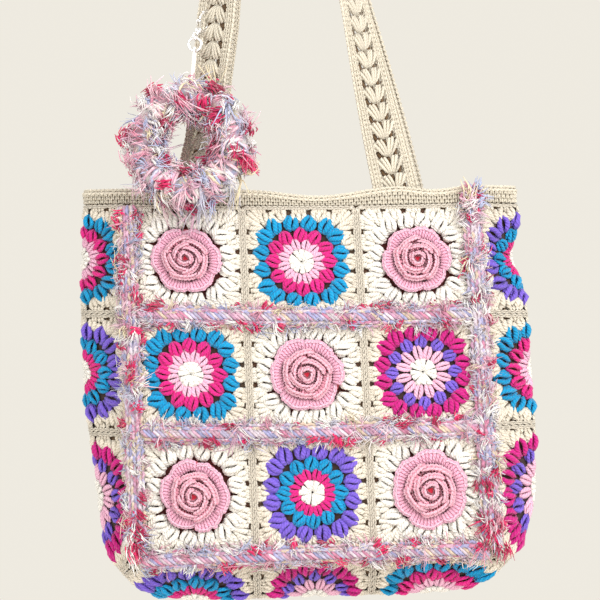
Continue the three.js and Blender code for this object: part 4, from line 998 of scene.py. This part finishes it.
def trim_track(kind):
    """Points under a ridge, with the ways along it, across it and out of the fabric."""
    even = np.ones(TRACK_POINTS)
    if kind in ("left", "right"):
        hand, surface, top = (-1, left_point, 0.02) if kind == "left" else (1, right_point, -0.1)
        across, down = hand * HALF_ACROSS * even, np.linspace(top, 2.96, TRACK_POINTS)
        out = normal_of(front_point, across - hand * 0.02, down) + normal_of(surface, down, -0.96 * even)
    elif kind == "base":
        across, down = np.linspace(-1.49, 1.49, TRACK_POINTS), ROWS * even
        out = normal_of(front_point, across, down - 0.02) + normal_of(base_point, across, -0.96 * even)
    else:
        across, down = np.linspace(-1.43, 1.43, TRACK_POINTS), int(kind[-1]) * even
        out = normal_of(front_point, across, down)
    points = front_point(across, down)
    ahead = unit(np.gradient(points, axis=0))
    side = unit(np.cross(ahead, unit(out)))
    return points, ahead, side, unit(np.cross(side, ahead))


def ridge_core(knit, track):
    """The body of a ridge, in dark painted shade seen between its hairs, and the chains round it."""
    points, ahead, side, out = track
    a = np.radians(np.linspace(-95, 95, 9))[:, None]
    section = points[::3, None] + side[::3, None] * (RIDGE_HALF * np.sin(a))
    section = section + out[::3, None] * (RIDGE_FOOT + RIDGE_HEIGHT * np.maximum(np.cos(a), 0))
    # Painted shade: the body's colours at 0.45 brightness, seen between the hairs and chains
    knit.body(section, pastel(knit.rng, (len(section), 1), 0.45))
    for across in RIDGE_ROWS:
        height = RIDGE_HEIGHT * math.sqrt(1 - (across / RIDGE_HALF) ** 2)
        tilt = math.asin(across / RIDGE_HALF) * 0.8
        away = unit(out * math.cos(tilt) + side * math.sin(tilt))
        line = points + side * across + out * (RIDGE_FOOT + height - 0.3)
        line = line + knit.rng.normal(0, 0.25, line.shape)
        chain(knit, line, 8, 2.6, 2, FLUFF_TINTS * RIDGE_TONE, 3, 5, away)


def rope(knit, track):
    """Slanting turns of yarn along the top of a ridge."""
    points, ahead, side, out = track
    lengths = run_lengths(points)
    count = int(lengths[-1] / ROPE_PITCH)
    u = np.linspace(-1, 1, 5)
    s = (np.arange(count)[:, None] + 0.5) * ROPE_PITCH + 5.5 * u + knit.rng.normal(0, 0.4, (count, 1))
    s = np.clip(s, 0, lengths[-1])
    up = read(out, lengths, s)
    high = RIDGE_FOOT + RIDGE_HEIGHT - 2.2 + 3.6 * np.sqrt(1 - 0.9 * u**2)
    paths = read(points, lengths, s) + up * high[:, None] + read(side, lengths, s) * (4.2 * u)[:, None]
    half = curve((1.1, 1.75, 1.1), (u + 1) / 2)
    tints = FLUFF_TINTS[knit.rng.integers(0, len(FLUFF_TINTS), count)] * RIDGE_TONE
    knit.strands(paths, half, half, tints * knit.rng.uniform(0.8, 1.14, (count, 1)), 5, up)


def ridge_roots(knit, track, count, reach, clear):
    """Random places on a ridge, clear of its top, with the ways along it and out of it."""
    rng = knit.rng
    index = rng.integers(2, TRACK_POINTS - 2, count)
    points, ahead, side, out = (values[index] for values in track)
    angle = np.radians(rng.uniform(clear, 95, count) * rng.choice([-1, 1], count))[:, None]
    radial = side * np.sin(angle) + out * np.cos(angle)
    around = side * np.cos(angle) - out * np.sin(angle)
    foot = points + out * (RIDGE_FOOT - 0.5 + (reach - 1.5) * np.cos(angle)) + side * reach * np.sin(angle)
    lean = np.radians(rng.normal(0, 60, (count, 1)))
    sign = rng.choice([-1.0, 1.0], (count, 1))
    away = around * np.sign(angle) * rng.uniform(0, 0.9, (count, 1))
    way = ahead * np.cos(lean) * sign + around * np.sin(lean) * 0.5 + away
    return foot, unit(way + radial * rng.uniform(0.1, 0.5, (count, 1))), radial


def end_tufts(knit, track, first, last, along_it, tint, droop=0, count=8):
    """Longer hairs at one end of a ridge, between two of its points."""
    index = knit.rng.integers(first, last, count) % TRACK_POINTS
    points, ahead, side, out = (values[index] for values in track)
    foot = points + out * 9 + knit.rng.normal(0, 3, (count, 3))
    way = ahead * along_it + side * knit.rng.normal(0, 0.5, (count, 1))
    tufts(knit, (foot, unit(way), out), 13, (10, 16), 0.8, tint, 0.25, 4, droop, 2.4)


def trims():
    for seed, kind in enumerate(("row_1", "row_2", "base", "left", "right")):
        knit = Knit(600 + seed)
        track = trim_track(kind)
        ridge_core(knit, track)
        clear = 0
        if kind not in ("left", "right"):
            rope(knit, track)
            clear = ROPE_CLEAR
        roots = ridge_roots(knit, track, 165, 8.4, clear)
        tufts(knit, roots, 7, (6, 13), (0.38, 0.75), dusky, 0.42, gather=2, curl=1)
        roots = ridge_roots(knit, track, 18, 8.4, clear)
        tufts(knit, roots, 12, (9, 14), (0.5, 0.75), white_fluff, 0.18, gather=1.5)
        roots = ridge_roots(knit, track, 24, 8.6, clear)
        tufts(knit, roots, 20, (6, 10), (0.75, 1.05), raspberry, 0.16, 2, gather=2.3, curl=0.3)
        if kind == "left":
            end_tufts(knit, track, -22, -2, 1, raspberry, 0.3)
            end_tufts(knit, track, -22, -2, 1, white_fluff, 0.3)
        if kind == "right":
            roots = ridge_roots(knit, track, 24, 8.6, clear)
            tufts(knit, roots, 9, (8, 13), (0.5, 0.8), white_fluff, 0.25, gather=2)
            end_tufts(knit, track, 0, 14, -0.3, dusky)
            end_tufts(knit, track, 0, 14, -0.3, pastel)
            end_tufts(knit, track, -14, -1, 1, dusky, 0.2)
            end_tufts(knit, track, -12, -1, 1, raspberry, 0.2)
        knit.piece(f"fluffy_ridge_{kind}", FLUFF, f"fluffy_trim_{kind}")


# The clasp, its ring and the hair band

DOWN = vec(0, 0, -1)
PIN = (6.5, 7.9)  # the lever's pin, along the clasp and towards its opening
SCRUNCHIE_FOLDS = 430


def charm_frame():
    """Places in the clasp, its downward, opening and pin ways, worked out as the solids have them."""
    centre, width, out = (values[0] for values in Strap(*STRAPS["front"][:3]).leg(0, [CLASP_SHARE]))
    drop = unit(vec(-16, -17, -25))
    drop = unit(drop - width * np.dot(drop, width))
    axle = unit(width)
    opening = unit(np.cross(axle, drop))
    if np.dot(opening, out) < 0:
        opening = -opening
    middle = centre - width * 10.5 + drop * 4.6 + opening * 1.2

    def inside(d, o, a=0.0):
        return middle + drop * d + opening * o + axle * a

    return inside, drop, opening, axle


def rounded(path, times=2):
    """A path with its corners cut round."""
    path = np.array(path)
    for _ in range(times):
        a, b = lerp(path[:-1], path[1:], 0.25), lerp(path[:-1], path[1:], 0.75)
        path = np.concatenate([path[:1], np.stack([a, b], 1).reshape(-1, 3), path[-1:]])
    return path


def loop_strand(knit, points, normal, radius, tint=BARE, sides=8):
    """A closed round wire in one plane."""
    points = np.array(points)
    side = unit(np.cross(unit(np.roll(points, -1, 0) - np.roll(points, 1, 0)), normal))
    angle = turns(sides)[:, None]
    ring = points[:, None] + side[:, None] * np.cos(angle) * radius + normal * np.sin(angle) * radius
    knit.sheet(ring, tint, closed=True)


def turned_bar(knit, a, b, profile, sides=16):
    """A turned bar from a to b, with a profile of share and radius."""
    shares, radii = np.array(profile).T
    up = vec(0, 0, 1) if abs(unit(b - a)[2]) < 0.9 else vec(1, 0, 0)
    knit.strands(lerp(a, b, shares[:, None])[None], radii, radii, BARE, sides, up)


def metalwork():
    inside, drop, opening, axle = charm_frame()
    knit = Knit(700)
    hook = [inside(CLASP_TOP + 1, -0.5), inside(CLASP_TOP - 2.5, -CLASP_HALF_WIDTH * 0.6)]
    hook.append(inside(CLASP_STRAIGHT, -CLASP_HALF_WIDTH))
    for a in math.pi * np.arange(9) / 8:
        bow = CLASP_STRAIGHT + CLASP_HALF_WIDTH * math.sin(a)
        hook.append(inside(-bow, -CLASP_HALF_WIDTH * math.cos(a)))
    knit.strands(rounded(hook)[None], 1.6, 1.6, BARE, 12, axle)
    collar = [(0, 2.2), (0.06, 3), (0.3, 3.2), (0.34, 2.9), (0.4, 2.9), (0.45, 3.2), (0.94, 3.1), (1, 2.5)]
    turned_bar(knit, inside(CLASP_TOP, 0), inside(CLASP_END, 0), collar)
    for hand in (-1, 1):
        low, high = inside(CLASP_TOP + 1.2, 1, hand * 1.9), inside(5.3, 8.8, hand * 1.9)
        plate = lerp(low, high, np.linspace(0, 1, 6)[:, None])
        knit.strands(plate[None], (0.8, 1.5, 1.5, 1.6, 1.6, 0.9), 0.4, BARE, 10, axle)
    pin = [(0, 0.55), (0.1, 0.6), (0.9, 0.6), (1, 0.55)]
    turned_bar(knit, inside(*PIN, -2.1), inside(*PIN, 2.1), pin, 10)
    knit.piece("clasp_hook", NICKEL, "clasp_body")

    knit = Knit(701)
    ring = [inside(PIN[0] + 1.4 * math.cos(a), PIN[1] + 1.4 * math.sin(a)) for a in turns(20)]
    loop_strand(knit, ring, axle, 0.48)
    arm = rounded([inside(4.9, 7.9), inside(1.5, 8.6), inside(-1.5, 8.6), inside(-3.5, 8.5)])
    knit.strands(arm[None], 1.05, 1.0, BARE, 10, axle)
    knit.piece("clasp_trigger", NICKEL, "clasp_lever", body="lever")

    knit = Knit(702)
    stub_end = CLASP_END + GAP + 2.2
    neck = [(0, 1.9), (0.1, 2.2), (0.6, 2.2), (0.8, 1.7), (1, 1.2)]
    turned_bar(knit, inside(CLASP_END + GAP, 0), inside(stub_end + 0.5, 0), neck)
    eye = inside(stub_end + EYE_RADIUS, 0)
    circle = [eye + EYE_RADIUS * (drop * math.cos(a) + opening * math.sin(a)) for a in turns(28)]
    loop_strand(knit, circle, axle, 1.0, sides=12)
    knit.piece("swivel_eye", NICKEL, "swivel")

    knit = Knit(703)
    ring_axle = unit(vec(-0.25, -1, 0))
    ring_side = unit(np.cross(ring_axle, DOWN))
    ring_centre = eye + DOWN * (EYE_RADIUS - 1 - RING_WIRE - GAP + RING_RADIUS)
    turn = TAU * 1.9 * np.linspace(0, 1, 80)[:, None]
    coil = ring_centre + RING_RADIUS * (DOWN * np.cos(turn) + ring_side * np.sin(turn))
    coil = coil + ring_axle * np.linspace(-0.7, 0.7, 80)[:, None]
    knit.strands(coil[None], 1.4, 0.75, BARE, 10, ring_axle)
    knit.piece("key_ring", NICKEL, "split_ring")
    return ring_centre, ring_axle


def cord_and_band():
    ring_centre, ring_axle = metalwork()
    top = ring_centre + DOWN * (RING_RADIUS - RING_WIRE - LOOP_WIRE - 2 * GAP)
    way = unit(vec(-0.08, -0.22, -1))
    side = unit(ring_axle - way * np.dot(ring_axle, way))
    straight = LOOP_LENGTH - 2 * LOOP_HALF_WIDTH
    path = []
    first = top + way * LOOP_HALF_WIDTH
    for centre, start in ((first, math.pi), (first + way * straight, 0)):
        for a in start + math.pi * np.arange(9) / 8:
            path.append(centre + side * LOOP_HALF_WIDTH * math.cos(a) + way * LOOP_HALF_WIDTH * math.sin(a))
        far_end = path[-1] + way * straight if start else path[0]
        path += [lerp(path[-1], far_end, f) for f in (0.25, 0.5, 0.75)]
    knit = Knit(710)
    loop_strand(knit, path, unit(np.cross(way, side)), LOOP_WIRE, WHITE)
    knit.piece("hanging_cord", COTTON, "drop_loop")
    scrunchie(top + way * (LOOP_LENGTH + LOOP_WIRE + GAP))


def scrunchie(loop_end):
    """A puckered ring of pastel yarn folds with loose hairs all over it."""
    lean = math.radians(4)
    face = unit(vec(-0.12, -1, 0.06))
    up = unit(vec(0.03, math.sin(lean), math.cos(lean)))
    up = unit(up - face * np.dot(up, face))
    side = unit(np.cross(face, up))
    flat = SCRUNCHIE_TUBE * math.cos(math.pi / 8)
    tube_top = loop_end - up * flat * math.cos(LOOP_ANGLE) + face * flat * math.sin(LOOP_ANGLE)
    centre = tube_top - up * SCRUNCHIE_RADIUS
    knit = Knit(720)
    rng = knit.rng

    def at(around, about, tube):
        """Angle round the ring, angle round its tube and distance from the tube's middle."""
        around, about, tube = (np.asarray(values)[..., None] for values in (around, about, tube))
        way = up * np.cos(around) + side * np.sin(around)
        radial = way * np.cos(about) + face * np.sin(about)
        return centre + way * SCRUNCHIE_RADIUS + radial * tube, way, radial

    def roots(count, tube, low=0.0, high=TAU):
        around, about = rng.uniform(low, high, count), rng.uniform(0, TAU, count)
        foot, way, radial = at(around, about, tube + rng.normal(0, 1, count))
        tangent = unit(np.cross(face, way))
        lean = rng.uniform(-1.4, 1.4, (count, 1))
        flow = tangent * np.cos(lean) * rng.choice([-1.0, 1.0], (count, 1))
        flow = flow + np.cross(radial, tangent) * np.sin(lean) + radial * rng.uniform(0, 0.5, (count, 1))
        return foot, unit(flow), radial

    def inner_roots(count, tube):
        foot, way, radial = at(rng.uniform(0, TAU, count), rng.normal(math.pi, 0.5, count), tube)
        flow = radial + np.cross(face, way) * rng.normal(0, 0.8, (count, 1))
        return foot, unit(flow), unit(np.cross(flow, face) + 1e-6)

    def lower_roots(count, tube):
        foot, flow, radial = roots(count, tube, 0.68 * math.pi, 1.32 * math.pi)
        return foot, unit(flow - vec(0, 0, 0.7)), radial

    around, about = np.meshgrid(turns(64), turns(18), indexing="ij")
    ripple = 1.4 * np.sin(11 * around + 2 * about) + rng.normal(0, 0.7, around.shape)
    core = at(around, about, SCRUNCHIE_TUBE - 6 + ripple)[0]
    # Painted shade: the core's colours at 0.6 brightness, seen between the folds and hairs
    knit.sheet(core, pastel(rng, around.shape, 0.6), closed=True, flip=True)
    folds = (SCRUNCHIE_FOLDS, 1)
    t = np.linspace(0, 1, 6)
    about = rng.uniform(0, TAU, folds) + rng.uniform(0.9, 2, folds) * t
    around = rng.uniform(0, TAU, folds) + rng.normal(0, 0.14, folds) * t
    swell = rng.uniform(0, 3.6, folds) * np.sin(np.pi * t) + rng.normal(0, 0.3, around.shape)
    paths, _, radial = at(around, about, SCRUNCHIE_TUBE - 5.5 + swell)
    half = rng.uniform(1, 2, folds) * curve((0.7, 1, 0.5), t)
    knit.strands(paths, half, half * 0.9, pastel(rng, SCRUNCHIE_FOLDS), 4, radial)
    tufts(knit, roots(290, SCRUNCHIE_TUBE - 3.5), 7, (8, 17), (0.4, 0.85), pastel, 0.3, 4, 0.1,
          gather=2, curl=1)
    tufts(knit, roots(30, SCRUNCHIE_TUBE - 2), 12, (9, 15), (0.6, 0.9), white_fluff, 0.18, 3, 0.1)
    tufts(knit, roots(50, SCRUNCHIE_TUBE - 2), 22, (8, 14), (0.75, 1.15), raspberry, 0.16, 2.5, 0.05,
          gather=2.9, curl=0.3)
    tufts(knit, inner_roots(70, SCRUNCHIE_TUBE - 4), 8, (8, 15), (0.4, 0.8), pastel, curl=0.8)
    tufts(knit, lower_roots(34, SCRUNCHIE_TUBE - 5), 9, (18, 27), (0.3, 0.6), pastel, 0.2, 3, 0.35, rings=4)
    knit.piece("fluffy_hair_band", FLUFF, "scrunchie")


# The studio

VIEW_WIDTH = 0.6
CAMERA_DISTANCE = 2.6
SENSOR = 36
SUBJECT = (0.04, 0, -0.65)
FLOOR_RADIUS = 1.1
FLOOR_SIDES = 96
# Each light's place, size, power and colour
LIGHTS = {
    "key": ((1.3, -1.8, 0.5), 1.1, 52, (1, 0.985, 0.96)),
    "fill": ((-1.6, -1.7, 0.1), 1.0, 17, (1, 1, 1)),
    "back": ((-0.5, 1.9, 0.4), 1.2, 40, (1, 1, 1)),
}


def studio():
    scene = bpy.context.scene
    data = bpy.data.cameras.new("camera")
    data.sensor_width = SENSOR
    data.lens = SENSOR * CAMERA_DISTANCE / VIEW_WIDTH
    camera = bpy.data.objects.new("camera", data)
    camera.location = (0.035, -0.04 - CAMERA_DISTANCE, -0.653)
    camera.rotation_euler = (math.pi / 2, 0, 0)
    scene.collection.objects.link(camera)
    scene.camera = camera
    for name, (place, size, power, colour) in LIGHTS.items():
        data = bpy.data.lights.new(name, "AREA")
        data.energy, data.size, data.color = power, size, colour
        light = bpy.data.objects.new(name, data)
        light.location = place
        light.rotation_euler = (Vector(SUBJECT) - Vector(place)).to_track_quat("-Z", "Y").to_euler()
        scene.collection.objects.link(light)
    world = bpy.data.worlds.new("world")
    world.use_nodes = True
    background = world.node_tree.nodes["Background"]
    fill(world.node_tree, background, {"Color": (1, 0.96, 0.87, 1), "Strength": 0.86})
    scene.world = world
    scene.view_settings.view_transform = "Standard"
    mesh = bpy.data.meshes.new("floor")
    x, y = polar(FLOOR_RADIUS, turns(FLOOR_SIDES)).T
    mesh.from_pydata(points_of(x, y, -1.1).tolist(), [], [list(range(FLOOR_SIDES))])
    paint, tree, shader = new_material("floor_paint")
    fill(tree, shader, {"Base Color": (0.83, 0.8, 0.75, 1), "Roughness": 0.9})
    mesh.materials.append(paint)
    floor = bpy.data.objects.new("floor", mesh)
    scene.collection.objects.link(floor)


squares()
roses()
band()
straps()
trims()
cord_and_band()
studio()
